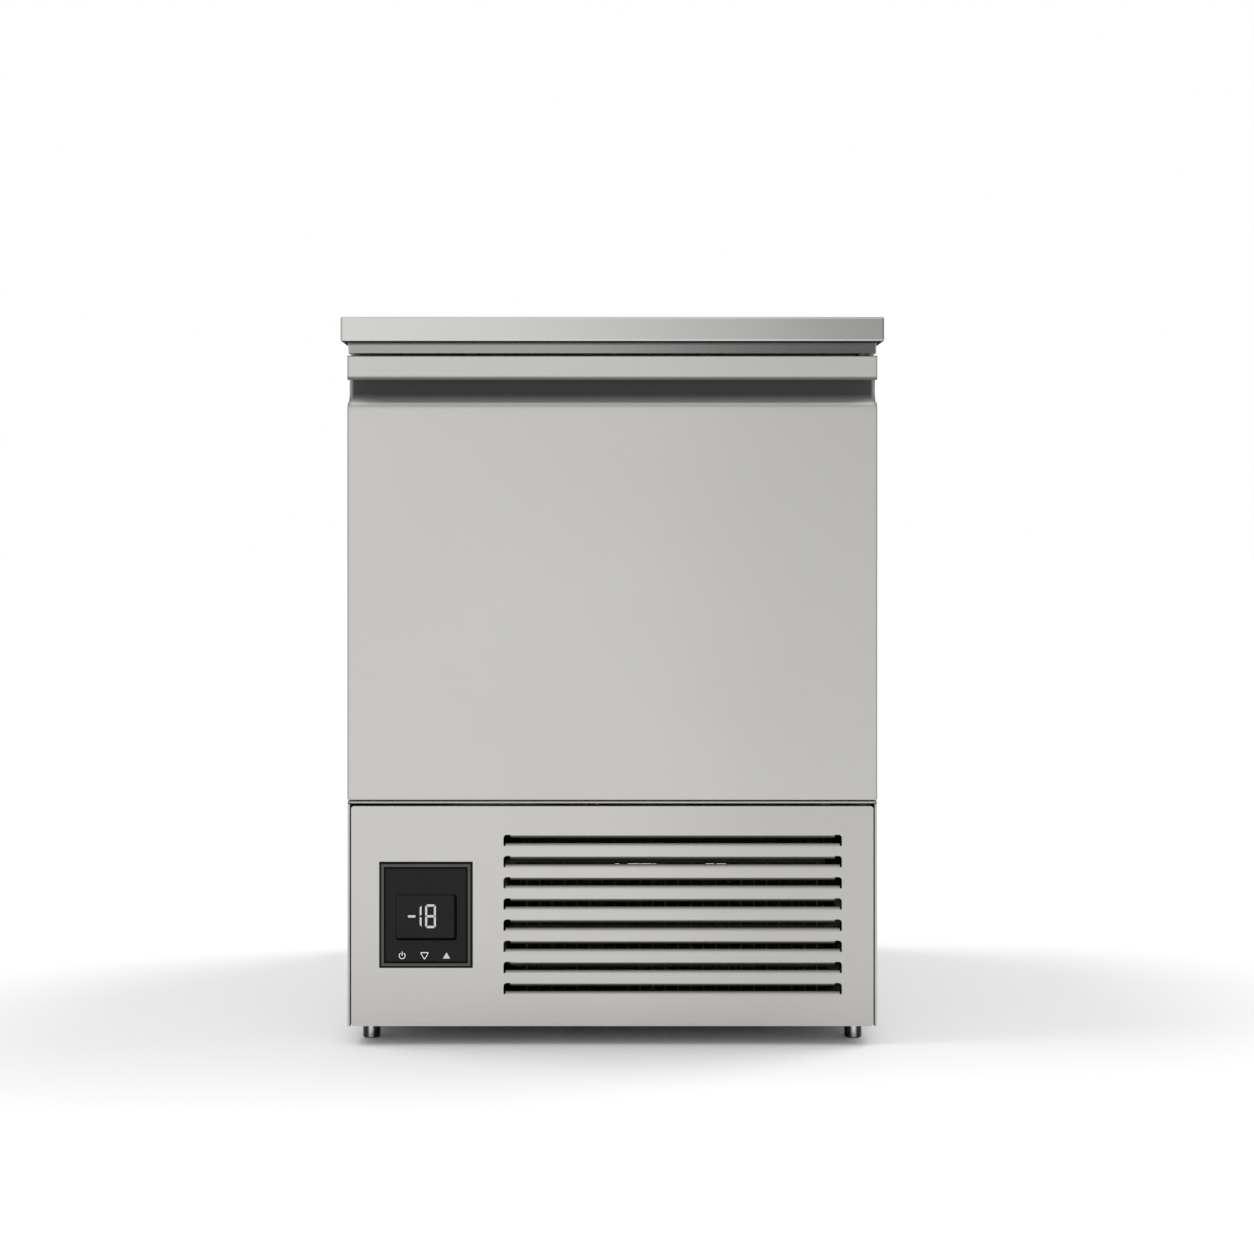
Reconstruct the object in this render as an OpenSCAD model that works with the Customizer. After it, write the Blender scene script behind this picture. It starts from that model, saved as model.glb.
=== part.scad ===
/* [Cabinet] */
// Width over the two side panels
cab_w = 592; // [560:1:640]
// Depth from the door's face to the back panel
cab_d = 634; // [610:1:680]
// Height of the base's underside over the floor
foot_h = 21; // [16:1:30]
// Height of the machine compartment with its base
machine_h = 248; // [244:1:270]
// Thickness of the sill plate under the door
sill_t = 3; // [3:0.5:5]
// Gap between sill plate and door
gap_low = 1.5; // [1.5:0.1:3]
// Gap between door and header rail
gap_top = 3.5; // [3.4:0.1:6]
// Height of the header rail
header_h = 11.5; // [9:0.5:16]
// Setback of the header rail behind the door's face
header_set = 10; // [8:1:11]
// Setback of the sill plate behind the door's face
sill_set = 3; // [2:0.5:5]
// Steel sheet of the side panels, frame and back
sheet = 1; // [0.8:0.1:1.2]
// Width of the hem at the front edge of a side panel
hem_w = 3.3; // [2.8:0.1:4]
// Depth of the hem
hem_d = 12; // [9:1:14]

/* [Worktop] */
// Thickness of the worktop
top_t = 28; // [24:1:40]
// Overhang of the worktop past each side panel
side_over = 7; // [4:1:10]
// Overhang of the worktop in front of the door's face
nose = 4; // [2:1:8]
// Overhang of the worktop behind the back panel
tail = 2; // [0:1:6]
// Edge radius of the worktop
top_r = 2.5; // [2:0.1:3]
// Sheet of the worktop
top_sheet = 1.2; // [1:0.1:1.5]
// Width of the lip folded in under the worktop
top_lip = 14; // [10:1:20]

/* [Insulated room] */
// Thickness of the insulated side walls
wall_side = 50; // [46:1:56]
// Thickness of the insulated floor
wall_floor = 43; // [42:1:50]
// Thickness of the insulated ceiling
wall_top = 45; // [43:1:50]
// Thickness of the insulated back wall
wall_back = 56; // [50:1:64]
// Wall of the inner liner
liner_t = 1; // [0.8:0.1:1.5]
// Corner radius of the inner liner
liner_r = 14; // [8:1:20]
// Depth of the breaker strip at the opening
breaker_d = 14; // [10:1:18]
// Wall of the breaker strip
breaker_t = 2; // [1.5:0.1:3]
// Width of the breaker strip's face flange
breaker_w = 10; // [8:1:11]

/* [Door] */
// Height of the door
door_h = 496.5; // [480:0.5:540]
// Thickness of the door without its gasket
door_t = 52; // [48:1:54]
// Steel sheet of the door
door_sheet = 1; // [0.8:0.1:1.2]
// Thickness of the door's end plates
end_t = 1.2; // [1:0.1:1.5]
// Edge radius of the door
door_r = 2.5; // [2:0.1:3.5]
// Height of the grip's lip
lip_h = 27; // [22:0.5:28]
// Thickness of the grip's lip
lip_t = 10; // [8:0.5:11]
// Height of the finger room behind the lip
hook_h = 10; // [7:0.5:11]
// Depth of the finger recess
scoop_d = 24; // [22:0.5:26]
// Height from the lip's lower edge to the recess's lower edge
recess_h = 36.5; // [32:0.5:42]
// Radius over which the front rolls into the recess
scoop_edge = 12; // [9:0.5:12.5]
// Width of the sheet folded in behind the door
door_ret = 8; // [6:0.5:8]
// Thickness of the door's inner liner
door_liner_t = 2; // [1.5:0.1:3]
// Height of the ridge around the door's inner liner
dyke_h = 13; // [8:1:14]
// Width of the ridge at its foot
dyke_w = 22; // [16:1:30]
// Clearance of the ridge in the opening
dyke_gap = 10; // [9:1:14]
// Space of the closed gasket between door and frame
seal_t = 8; // [7:0.5:9]
// Width of the gasket
seal_w = 18; // [14:1:19]
// Clearance of the gasket to the steel frame
seal_gap = 0.3; // [0.2:0.1:0.5]

/* [Hinge] */
// Distance of the pin line from the door's right edge
hinge_in = 14; // [13:0.5:16]
// Distance of the pin line from the door's face
hinge_back = 18; // [16:0.5:18]
// Radius of the hinge pins
pin_r = 4; // [3:0.1:4.5]
// Running clearance around the pins
pin_fit = 0.05; // [0.03:0.01:0.08]
// Length of the upper pin in the door
pin_top_l = 10; // [8:0.5:10.5]
// Length of the lower pin in the door
pin_low_l = 14.5; // [10:0.5:20]
// Thickness of the upper hinge plate
plate_top_t = 2.5; // [2:0.1:2.5]
// Thickness of the lower hinge plate
plate_low_t = 2.2; // [2:0.1:2.4]
// Wall of the hinge bushes
bush_t = 2.5; // [2:0.1:3]

/* [Lower panel] */
// Thickness of the lower panel
panel_t = 1.2; // [1:0.1:1.4]
// Gap between the lower panel and the side panels' hems
panel_gap = 1; // [0.8:0.1:2]
// Gap between the lower panel and the sill plate
panel_top_gap = 2.5; // [2.4:0.1:4]
// Setback of the lower panel behind the door's face
panel_set = 1; // [0.5:0.1:2]
// Corner radius of the lower panel
panel_r = 3; // [2:0.5:5]
// Depth of the flanges around the lower panel
panel_flange = 14; // [10:1:16]
// Number of louvre slots
slot_n = 8; // [4:1:8]
// Length of a louvre slot
slot_w = 378; // [300:1:380]
// Height of a louvre slot
slot_h = 9.9; // [8:0.1:11]
// Distance from one louvre slot to the next
slot_pitch = 23.65; // [21:0.05:24]
// Centre of the slots right of the cabinet's middle
slot_x = 67.4; // [60:0.1:75]
// Distance from the panel's lower edge to the lowest slot's upper edge
slot_z = 48.2; // [44:0.1:54]
// Radius of a slot's upper corners
slot_r = 3.7; // [2:0.1:4]
// Radius of the rolled lip under a slot
roll_low = 4; // [3:0.1:5]
// Radius of the rolled lip over a slot
roll_top = 2.6; // [2:0.1:3]
// Reach of the rolled lips behind the panel
roll_reach = 9; // [8:0.5:12]
// Width of the relief cut at each end of a slot
relief_w = 2.2; // [1:0.1:2.5]

/* [Controller] */
// Width of the controller's bezel
ctl_w = 104.5; // [95:0.5:115]
// Height of the controller's bezel
ctl_h = 118.6; // [105:0.1:125]
// Centre of the controller left of the cabinet's middle
ctl_x = 208.15; // [204:0.05:215]
// Height of the controller's centre over the panel's lower edge
ctl_z = 124.3; // [110:0.1:140]
// Width of the bezel's rim
rim_w = 7.6; // [6:0.1:9]
// Bezel in front of the panel
rim_t = 2.5; // [2:0.1:4]
// Width of the rim's sloping outer side
rim_bevel = 2.9; // [1:0.1:3]
// Width of the rim's flat ridge
ridge_w = 2.5; // [1.5:0.1:3]
// Depth of the controller's housing behind the panel
ctl_d = 26; // [20:1:30]
// Wall of the housing
ctl_wall = 1.6; // [1.2:0.1:2]
// Width of the display window
win_w = 67; // [50:1:75]
// Height of the display window
win_h = 50; // [35:1:60]
// Distance of the window's upper edge from the face's upper edge
win_top = 29; // [20:0.5:32]

/* [Feet] */
// Radius of a foot
foot_r = 10; // [9:0.5:14]
// Foot's centre from the side panel's outer face
foot_in = 23; // [22:0.5:40]
// Front foot's centre behind the door's face
foot_front = 45; // [40:1:60]
// Rear foot's centre in front of the back panel
foot_back = 43; // [30:1:60]
// Radius of a foot's threaded stem
stem_r = 4; // [3:0.5:5]
// Clearance of the stem in its weld nut
stem_fit = 0.1; // [0.05:0.01:0.1]
// Length of the stem
stem_l = 30; // [24:1:34]
// Sheet of the base tray
tray_t = 1.5; // [1.2:0.1:2]
// Height of the base tray's sides
tray_h = 20; // [15:1:30]

/* [Shelves] */
// Number of shelf levels
shelf_n = 3; // [3:1:3]
// Radius of a shelf's frame wire
frame_r = 3; // [2.5:0.1:3.5]
// Radius of a shelf's deck wires
wire_r = 1.5; // [1.2:0.1:2]
// Number of deck wires
wire_n = 19; // [12:1:24]
// Radius of a shelf's cross rods
cross_r = 2.5; // [2:0.1:3]
// Distance of a shelf's front wire behind the frame's face
shelf_set = 20; // [18:1:21]
// Clearance between the shelf rails' ends and the evaporator's cover
shelf_back = 11; // [11:1:40]
// Distance of a shelf's back wire before the rails' ends
shelf_stop = 4; // [4:1:12]
// Clearance of a shelf beside each rail
shelf_play = 1; // [0.5:0.1:2]
// Bend radius of a shelf's corners
shelf_r = 18; // [12:1:30]
// Width of the shelf ledges
ledge_w = 14; // [12:1:20]
// Sheet of the shelf ledges
ledge_t = 1.5; // [1:0.1:2]
// Width of the rails' uprights
rail_w = 24; // [16:1:30]
// Distance of the front upright behind a shelf's front wire
rail_front = 20; // [5:1:60]
// Distance of the rear upright's front edge before the rails' ends
rail_back = 60; // [30:1:100]
// Distance of the uprights' lower ends from the room's floor
rail_low = 20; // [16:1:30]
// Distance of the uprights' upper ends from the room's ceiling
rail_high = 24; // [16:1:30]

/* [Cold unit] */
// Depth of the evaporator room in front of the liner's back wall
evap_d = 87; // [82:1:88]
// Height of the evaporator cover's lower edge over the room's floor
evap_z = 85; // [80:1:100]
// Sheet of the evaporator's cover
cover_t = 1.2; // [1:0.1:1.5]
// Clearance between the evaporator coil's end plates and the side walls
coil_side = 51; // [40:1:80]
// Depth of the evaporator coil
coil_d = 52; // [46:1:54]
// Height of the evaporator coil
coil_h = 120; // [90:1:130]
// Height of the coil over the cover's lower edge
coil_rise = 32; // [30:1:40]
// Number of evaporator fins
evap_fins = 22; // [10:1:26]
// Radius of the tubes in both coils
tube_r = 4.75; // [3.5:0.05:5]
// Thickness of the fins in both coils
fin_t = 0.8; // [0.5:0.1:1]
// Outer radius of the evaporator fan
evap_fan_r = 58; // [45:1:60]
// Centre of the evaporator fan under the ceiling
evap_fan_top = 90; // [86:1:100]
// Radius of the evaporator fan's motor
evap_motor_r = 24; // [20:1:28]
// Length of the evaporator fan's motor
evap_motor_l = 34; // [24:1:40]
// Clearance between the drip tray and the side walls
drip_side = 31; // [20:1:40]
// Depth of the drip tray
drip_d = 72; // [66:1:76]
// Height of the drip tray
drip_h = 14; // [10:1:16]
// Clearance between the drip tray and the back wall
drip_back = 3; // [1:0.5:5]
// Outer radius of the drain tube
drain_r = 8; // [6:0.5:9]
// Centre of the drain tube from the right wall
drain_side = 96; // [60:1:150]
// Centre of the drain tube before the back wall
drain_back = 22; // [18:1:30]
// Radius of the defrost heater's rod
heat_r = 4; // [3:0.1:4.5]
// Bend radius of the defrost heater
heat_bend = 14; // [10:1:16]
// Distance of the heater's bend before the coil's end
heat_in = 15; // [10:1:40]
// Distance of the temperature probe's tip from the left wall
probe_side = 96; // [40:1:150]
// Height of the temperature probe over the cover's lower edge
probe_rise = 60; // [40:1:80]
// Length of the temperature probe
probe_l = 42; // [34:1:50]
// Radius of the temperature probe
probe_r = 3.5; // [2.5:0.1:4]

/* [Machine unit] */
// Number of condenser fins
cond_fins = 24; // [12:1:28]
// Width of the condenser with its tube bends
cond_w = 360; // [320:1:364]
// Height of the condenser
cond_h = 196; // [180:1:200]
// Depth of the condenser
cond_d = 44; // [36:1:46]
// Distance of the condenser's right end from the cabinet's right side
cond_side = 48.6; // [48:0.1:56]
// Distance of the condenser behind the lower panel's face
cond_set = 34; // [30:1:38]
// Depth of the condenser's sheet duct
duct_d = 22; // [18:1:26]
// Sheet of the condenser's duct
duct_t = 1.2; // [1:0.1:1.5]
// Outer radius of the condenser fan
cond_fan_r = 86; // [70:1:88]
// Radius of the condenser fan's motor
cond_motor_r = 32; // [28:1:36]
// Length of the condenser fan's motor
cond_motor_l = 44; // [30:1:50]
// Radius of both fans' shafts
shaft_r = 2.5; // [2:0.1:3]
// Radius of the compressor's shell
comp_r = 82; // [70:1:86]
// Height of the compressor's shell
comp_h = 178; // [150:1:190]
// Centre of the compressor from the cabinet's left side
comp_side = 146; // [130:1:150]
// Centre of the compressor before the back panel
comp_back = 140; // [120:1:145]
// Height of the compressor's foot plate over the base tray
comp_rise = 14; // [14:1:18]
// Radius of the copper pipes
pipe_r = 4; // [3:0.1:4.5]
// Outer radius of the suction pipe's insulation
sleeve_r = 7; // [6:0.5:8]
// Radius of the filter drier
drier_r = 11; // [8:0.5:14]
// Length of the filter drier
drier_l = 104; // [90:1:110]
// Clearance between the filter drier and the compressor's shell
drier_gap = 27; // [20:1:40]
// Width of the condensate tray
pan_w = 190; // [120:1:200]
// Depth of the condensate tray
pan_d = 130; // [100:1:132]
// Height of the condensate tray
pan_h = 34; // [20:1:36]
// Clearance between the condensate tray and the right side panel
pan_side = 45; // [40:1:60]
// Clearance between the condensate tray and the back panel
pan_back = 20; // [14:1:30]
// Wall of the condensate tray
pan_t = 1.5; // [1:0.1:3]

/* [Rear cover and power inlet] */
// Length of a vent slot between its round ends
vent_w = 120; // [60:1:126]
// Height of a vent slot
vent_h = 5; // [4:0.5:8]
// Distance from one row of vent slots to the next
vent_pitch = 18; // [14:0.5:19]
// Number of rows of vent slots
vent_rows = 9; // [4:1:9]
// Centre of the outer vent slots from the cover's edges
vent_side = 130; // [110:1:140]
// Height of the lowest vent slots over the cover's lower edge
vent_low = 38; // [30:1:42]
// Depth of the rear cover's flanges
cover_flange = 12; // [8:1:20]
// Centre of the power inlet from the cabinet's left side
inlet_side = 38; // [38:1:42]
// Height of the power inlet's centre over the base
inlet_rise = 60; // [52:1:90]
// Width of the power inlet
inlet_w = 30; // [28:1:32]
// Height of the power inlet
inlet_h = 24; // [20:1:26]

/* [Hidden] */
$fn = 48;
eps = 0.01;
seat = 0.3;

steel = [0.77, 0.765, 0.75];
dark_steel = [0.55, 0.55, 0.54];
zinc = [0.66, 0.67, 0.68];
black = [0.04, 0.04, 0.045];
white = [0.9, 0.9, 0.88];
foam = [0.87, 0.8, 0.6];
copper = [0.72, 0.42, 0.25];

// Planes of the cabinet, from the driving sizes
top_d = cab_d + nose + tail;
top_w = cab_w + 2 * side_over;
y_face = nose - top_d / 2;
y_back = y_face + cab_d;
y_header = y_face + header_set;
y_case = y_face + door_t + seal_t;
y_door = y_face + door_t;
y_panel = y_face + panel_set;
x_out = cab_w / 2;
x_skin = x_out - sheet;
x_room = x_out - wall_side;
z_base = foot_h;
z_sill = z_base + machine_h;
z_case = z_sill + sill_t;
z_door = z_case + gap_low;
z_lid = z_door + door_h;
z_header = z_lid + gap_top;
z_top = z_header + header_h;
z_all = z_top + top_t;
z_floor = z_case + wall_floor;
z_ceil = z_top - wall_top;
y_room = y_back - wall_back;
y_evap = y_room - evap_d;
room_h = z_ceil - z_floor;
room_z = (z_ceil + z_floor) / 2;
// The rails fill the room between the shelves' front and the evaporator's cover
y_shelf = y_case + shelf_set;
y_rails = y_evap - shelf_back;
shelf_d = y_rails - shelf_stop - y_shelf;

// Points of an arc about c from angle a to angle b
function arc(c, r, a, b, n = 6) =
    [for (k = [0:n]) c + r * [cos(a + (b - a) * k / n), sin(a + (b - a) * k / n)]];
// A path without its repeated points
function distinct(p) = [for (i = [0:len(p) - 1]) if (i == 0 || norm(p[i] - p[i - 1]) > eps) p[i]];
function unit(v) = v / norm(v);
function left_of(a, b) = let(d = unit(b - a)) [-d[1], d[0]];
// Point i of an open path, moved a sheet's thickness t to the path's left
function inset(p, i, t) =
    let(n = len(p),
        a = i > 0 ? left_of(p[i - 1], p[i]) : left_of(p[0], p[1]),
        b = i < n - 1 ? left_of(p[i], p[i + 1]) : left_of(p[n - 2], p[n - 1]))
    p[i] + (a + b) * t / (1 + a * b);
// Outline of a sheet of thickness t folded along an open path
function folded(p, t) = concat(p, [for (i = [len(p) - 1:-1:0]) inset(p, i, t)]);
// Outline of a rectangle with round corners
function round_outline(x0, x1, z0, z1, r) = concat(
    arc([x1 - r, z0 + r], r, -90, 0), arc([x1 - r, z1 - r], r, 0, 90),
    arc([x0 + r, z1 - r], r, 90, 180), arc([x0 + r, z0 + r], r, 180, 270));

// Box between two opposite corners
module slab(a, b) {
    translate(a) cube(b - a);
}

// A (y, z) outline carried along X
module along_x(x0, x1) {
    translate([x0, 0, 0]) rotate([90, 0, 90]) linear_extrude(x1 - x0) children();
}

// An (x, z) outline carried along Y
module along_y(y0, y1) {
    translate([0, y1, 0]) rotate([90, 0, 0]) linear_extrude(y1 - y0) children();
}

// An (x, y) outline carried along Z
module along_z(z0, z1) {
    translate([0, 0, z0]) linear_extrude(z1 - z0) children();
}

// Cylinder along Y from y0 to y1
module rod_y(x, z, r, y0, y1) {
    translate([x, y1, z]) rotate([90, 0, 0]) cylinder(r = r, h = y1 - y0);
}

// Cylinder along X from x0 to x1
module rod_x(y, z, r, x0, x1) {
    translate([x0, y, z]) rotate([0, 90, 0]) cylinder(r = r, h = x1 - x0);
}

// Rectangle centred on the cabinet's middle, with round corners of radius r
module round_rect(half_w, z0, z1, r) {
    translate([-half_w, z0 + r]) square([2 * half_w, z1 - z0 - 2 * r]);
    translate([r - half_w, z0]) square([2 * (half_w - r), z1 - z0]);
    for (x = [r - half_w, half_w - r], z = [z0 + r, z1 - r]) translate([x, z]) circle(r);
}

// A (u, y) profile, u outwards, carried round the rectangle w by h with mitred corners
mitre_d = 50;
module mitred_ring(w, h, reach) {
    for (q = [0:3]) {
        span = q % 2 == 0 ? h : w;
        off = q % 2 == 0 ? w / 2 : h / 2;
        rotate([0, q * 90, 0]) intersection() {
            translate([off, 0, -span / 2 - reach]) linear_extrude(span + 2 * reach) children();
            translate([0, mitre_d, 0]) rotate([90, 0, 0]) linear_extrude(2 * mitre_d) polygon([
                [off - reach, span / 2 - reach], [off + reach, span / 2 + reach],
                [off + reach, -span / 2 - reach], [off - reach, reach - span / 2]]);
        }
    }
}

// Round tube swept along a list of points, with n sides
function ring_at(p, i, r, n) =
    let(a = p[max(i - 1, 0)], b = p[min(i + 1, len(p) - 1)], d = unit(b - a),
        s = abs(d[2]) > 0.9 ? [0, 1, 0] : [0, 0, 1], u = unit(cross(d, s)), v = cross(d, u))
    [for (k = [0:n - 1]) p[i] + r * (u * cos(360 * k / n) + v * sin(360 * k / n))];
module swept_tube(p, r, n = 8) {
    m = len(p);
    polyhedron([for (i = [0:m - 1]) each ring_at(p, i, r, n)],
        concat([[for (k = [0:n - 1]) k]], [[for (k = [n - 1:-1:0]) (m - 1) * n + k]],
            [for (i = [0:m - 2], k = [0:n - 1])
                [i * n + k, (i + 1) * n + k, (i + 1) * n + (k + 1) % n, i * n + (k + 1) % n]]));
}
// Route with its corners rounded: each inner point becomes an arc of chords
function rounded_route(p, b, n = 4) = [for (i = [0:len(p) - 1])
    each (i == 0 || i == len(p) - 1 ? [p[i]] :
        let(s = p[i] + unit(p[i - 1] - p[i]) * b, e = p[i] + unit(p[i + 1] - p[i]) * b)
        [for (k = [0:n]) let(t = k / n) s * (1 - t) * (1 - t) + p[i] * 2 * t * (1 - t) + e * t * t])];

// Folded sheet tray with round edges and a lip turned in all round
module worktop() {
    color(steel) difference() {
        intersection() {
            along_x(-top_w / 2, top_w / 2)
                polygon(round_outline(y_face - nose, y_back + tail, z_top, z_all, top_r));
            along_y(y_face - nose, y_back + tail)
                polygon(round_outline(-top_w / 2, top_w / 2, z_top, z_all, top_r));
        }
        slab([top_sheet - top_w / 2, y_face - nose + top_sheet, z_top + top_sheet],
            [top_w / 2 - top_sheet, y_back + tail - top_sheet, z_all - top_sheet]);
        slab([top_lip - top_w / 2, y_face - nose + top_lip, z_top - 1],
            [top_w / 2 - top_lip, y_back + tail - top_lip, z_top + top_sheet + 1]);
    }
}

// Board that fills the worktop tray
module worktop_core() {
    color([0.72, 0.58, 0.4])
        slab([top_sheet - top_w / 2, y_face - nose + top_sheet, z_top + top_sheet],
            [top_w / 2 - top_sheet, y_back + tail - top_sheet, z_all - top_sheet]);
}

// Channel across the front under the worktop
header_t = 1.2;
header_flange = 18;
module header_rail() {
    path = [[y_header + header_flange, z_top], [y_header, z_top], [y_header, z_header],
        [y_case, z_header], [y_case, z_top - header_t - seat]];
    color(dark_steel) along_x(-x_skin, x_skin) polygon(folded(path, header_t));
}

// C-shaped side skin with a hem along its lower front edge and a return behind the gasket
module side_panel() {
    hem_r = hem_w / 2;
    hem = concat([[-x_out, y_face + hem_d]],
        arc([hem_r - x_out, y_face + hem_r], hem_r, 180, 360, 8),
        [[hem_w - x_out, y_face + hem_d]]);
    color(steel) union() {
        along_x(-x_out, -x_skin) polygon([[y_face + hem_r, z_base], [y_back, z_base],
            [y_back, z_top], [y_header, z_top], [y_header, z_header], [y_case, z_header],
            [y_case, z_case], [y_face + hem_r, z_case]]);
        along_z(z_base, z_sill) polygon(folded(hem, sheet));
        slab([-x_out, y_case, z_case], [return_w - x_skin, y_case + sheet, z_header]);
        difference() {
            slab([-x_out, y_cover - sheet, cover_low + return_in],
                [back_return - x_skin, y_cover, cover_top - return_in]);
            screw_holes();
        }
    }
}
return_w = 10;
back_return = 14;
return_in = 4;

module side_panel_left() {
    side_panel();
}

module side_panel_right() {
    mirror([1, 0, 0]) side_panel();
}

// Flat sheet over the foam at the back
module back_panel() {
    color(zinc) slab([-x_skin, y_back - sheet, z_sill], [x_skin, y_back, z_top]);
}

// Inner plane and edges of the rear cover, and the places of its screws
y_cover = y_back - 2 * sheet;
cover_low = z_base + tray_h + 2;
cover_top = z_sill - 3;
screw_r = 2;
screw_in = 24;
module at_screws() {
    for (x = [back_return / 2 - x_skin, x_skin - back_return / 2],
            z = [cover_low + screw_in, cover_top - screw_in])
        translate([x, y_cover, z]) children();
}
module screw_holes() {
    at_screws() rod_y(0, 0, screw_r + 0.1, -2 * sheet, 2 * sheet);
}

// Slotted sheet over the machine compartment's back
module rear_cover() {
    path = [[y_back - cover_flange, cover_low], [y_back - sheet, cover_low],
        [y_back - sheet, cover_top], [y_back - cover_flange, cover_top]];
    color(zinc) difference() {
        along_x(1 - x_skin, x_skin - 1) polygon(folded(path, sheet));
        screw_holes();
        for (row = [0:vent_rows - 1], side = [-1, 0, 1])
            translate([side * (x_skin - vent_side), y_back, cover_low + vent_low + row * vent_pitch])
                rotate([90, 0, 0]) linear_extrude(3 * sheet) union() {
                    square([vent_w, vent_h], center = true);
                    translate([-vent_w / 2, 0]) circle(vent_h / 2);
                    translate([vent_w / 2, 0]) circle(vent_h / 2);
                }
        slab([inlet_x - inlet_w / 2 - seat, y_back - 3 * sheet, inlet_z - inlet_h / 2 - seat],
            [inlet_x + inlet_w / 2 + seat, y_back + sheet, inlet_z + inlet_h / 2 + seat]);
    }
}

// Sheet under the foamed floor, the machine compartment's ceiling
module bottom_sheet() {
    color(zinc) difference() {
        slab([-x_skin, y_case, z_case - sheet], [x_skin, y_back - sheet, z_case]);
        translate([drain_x, drain_y, z_case - 5]) cylinder(r = drain_r + seat, h = 10);
    }
}

// Foam between the outer skins and the liner
module cabinet_foam() {
    color(foam) difference() {
        slab([-x_skin, y_case + sheet, z_case], [x_skin, y_back - sheet, z_top]);
        along_y(y_case, y_case + breaker_d)
            round_rect(x_room + breaker_t, z_floor - breaker_t, z_ceil + breaker_t,
                liner_r + breaker_t);
        along_y(y_case, y_room + liner_t)
            round_rect(x_room + liner_t, z_floor - liner_t, z_ceil + liner_t, liner_r + liner_t);
        translate([drain_x, drain_y, z_case - 1]) cylinder(r = drain_r + seat, h = wall_floor + 2);
    }
}

// Tub that lines the cold room
module inner_liner() {
    color(steel) difference() {
        along_y(y_case + breaker_d, y_room + liner_t)
            round_rect(x_room + liner_t, z_floor - liner_t, z_ceil + liner_t, liner_r + liner_t);
        along_y(y_case, y_room) round_rect(x_room, z_floor, z_ceil, liner_r);
        translate([drain_x, drain_y, z_floor - 5]) cylinder(r = drain_r + seat, h = 10);
    }
}

// Steel frame that the gasket's magnet holds to
module front_frame() {
    color(steel) along_y(y_case, y_case + sheet) difference() {
        translate([return_w + seat - x_skin, z_case])
            square([2 * (x_skin - return_w - seat), z_header - z_case]);
        round_rect(x_room + breaker_w, z_floor - breaker_w, z_ceil + breaker_w,
            liner_r + breaker_w);
    }
}

// Plastic strip between steel frame and liner, which stops the cold
module breaker_strip() {
    color(black) union() {
        along_y(y_case, y_case + sheet) difference() {
            round_rect(x_room + breaker_w, z_floor - breaker_w, z_ceil + breaker_w,
                liner_r + breaker_w);
            round_rect(x_room, z_floor, z_ceil, liner_r);
        }
        along_y(y_case, y_case + breaker_d) difference() {
            round_rect(x_room + breaker_t, z_floor - breaker_t, z_ceil + breaker_t,
                liner_r + breaker_t);
            round_rect(x_room, z_floor, z_ceil, liner_r);
        }
    }
}

// Plate under the door with its front edge folded flat
sill_hem = 16;
module sill_plate() {
    y0 = y_face + sill_set;
    color(steel) difference() {
        along_x(seat - x_skin, x_skin - seat)
            polygon(concat([[y_case, z_case - sheet], [y_case, z_case]],
                arc([y0 + sill_t / 2, z_case - sill_t / 2], sill_t / 2, 90, 270, 6),
                [[y_case, z_sill], [y_case, z_sill + sheet]]));
        slab([1 - x_skin, y0 + sill_hem, z_sill - 1], [x_skin - 1, y_case + 1, z_case - sheet]);
        at_hinge(z_sill - 1) cylinder(r = pin_r + seat, h = sill_t + 2);
    }
}

// Tray that carries the machine, with a weld nut over each foot
module base_tray() {
    y0 = y_panel + panel_flange;
    x1 = x_skin - seat;
    color(zinc) difference() {
        union() {
            difference() {
                slab([-x1, y0, z_base], [x1, y_back - sheet - seat, z_base + tray_h]);
                slab([tray_t - x1, y0 + tray_t, z_base + tray_t],
                    [x1 - tray_t, y_back - sheet - seat - tray_t, z_base + tray_h + 1]);
            }
            for (x = foot_xs, y = foot_ys)
                translate([x, y, z_base]) cylinder(r = stem_r + nut_wall, h = nut_h, $fn = 6);
        }
        for (x = foot_xs, y = foot_ys)
            translate([x, y, z_base - 1]) cylinder(r = stem_r + stem_fit, h = nut_h + 2);
    }
}
nut_h = 10;
nut_wall = 4.5;
foot_xs =[foot_in - x_out, x_out - foot_in];
foot_ys = [y_face + foot_front, y_back - foot_back];

// Outline of one louvre slot with round upper corners, its upper edge at height z
module slot_outline(z) {
    x0 = slot_x - slot_w / 2;
    translate([x0, z - slot_h - relief_d]) square([slot_w, slot_h + relief_d - slot_r]);
    translate([x0 + slot_r, z - slot_r]) square([slot_w - 2 * slot_r, slot_r]);
    for (x = [x0 + slot_r, x0 + slot_w - slot_r]) translate([x, z - slot_r]) circle(slot_r);
    translate([x0 + relief_w, z - slot_h - roll_low])
        square([slot_w - 2 * relief_w, slot_h]);
}
relief_d = 2.8;
lip_in = 4;

// Rolled lips of one slot, from the panel's face inwards
module slot_lips(z) {
    x0 = slot_x - slot_w / 2;
    x1 = slot_x + slot_w / 2;
    z_low = z - slot_h;
    low = concat([[y_panel, z_low - roll_low - 1]],
        arc([y_panel + roll_low, z_low - roll_low], roll_low, 180, 75, 7),
        [[y_panel + roll_reach, z_low - 1.1]]);
    top = concat([[y_panel, z + 1]],
        arc([y_panel + roll_top, z], roll_top, 180, 262, 6),
        [[y_panel + roll_reach, z - roll_top - 2]]);
    along_x(x0 + relief_w, x1 - relief_w)
        polygon(concat(low, [for (i = [len(low) - 1:-1:0]) inset(low, i, -panel_t)]));
    along_x(x0 + slot_r + lip_in, x1 - slot_r - lip_in) polygon(folded(top, panel_t));
}

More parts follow.
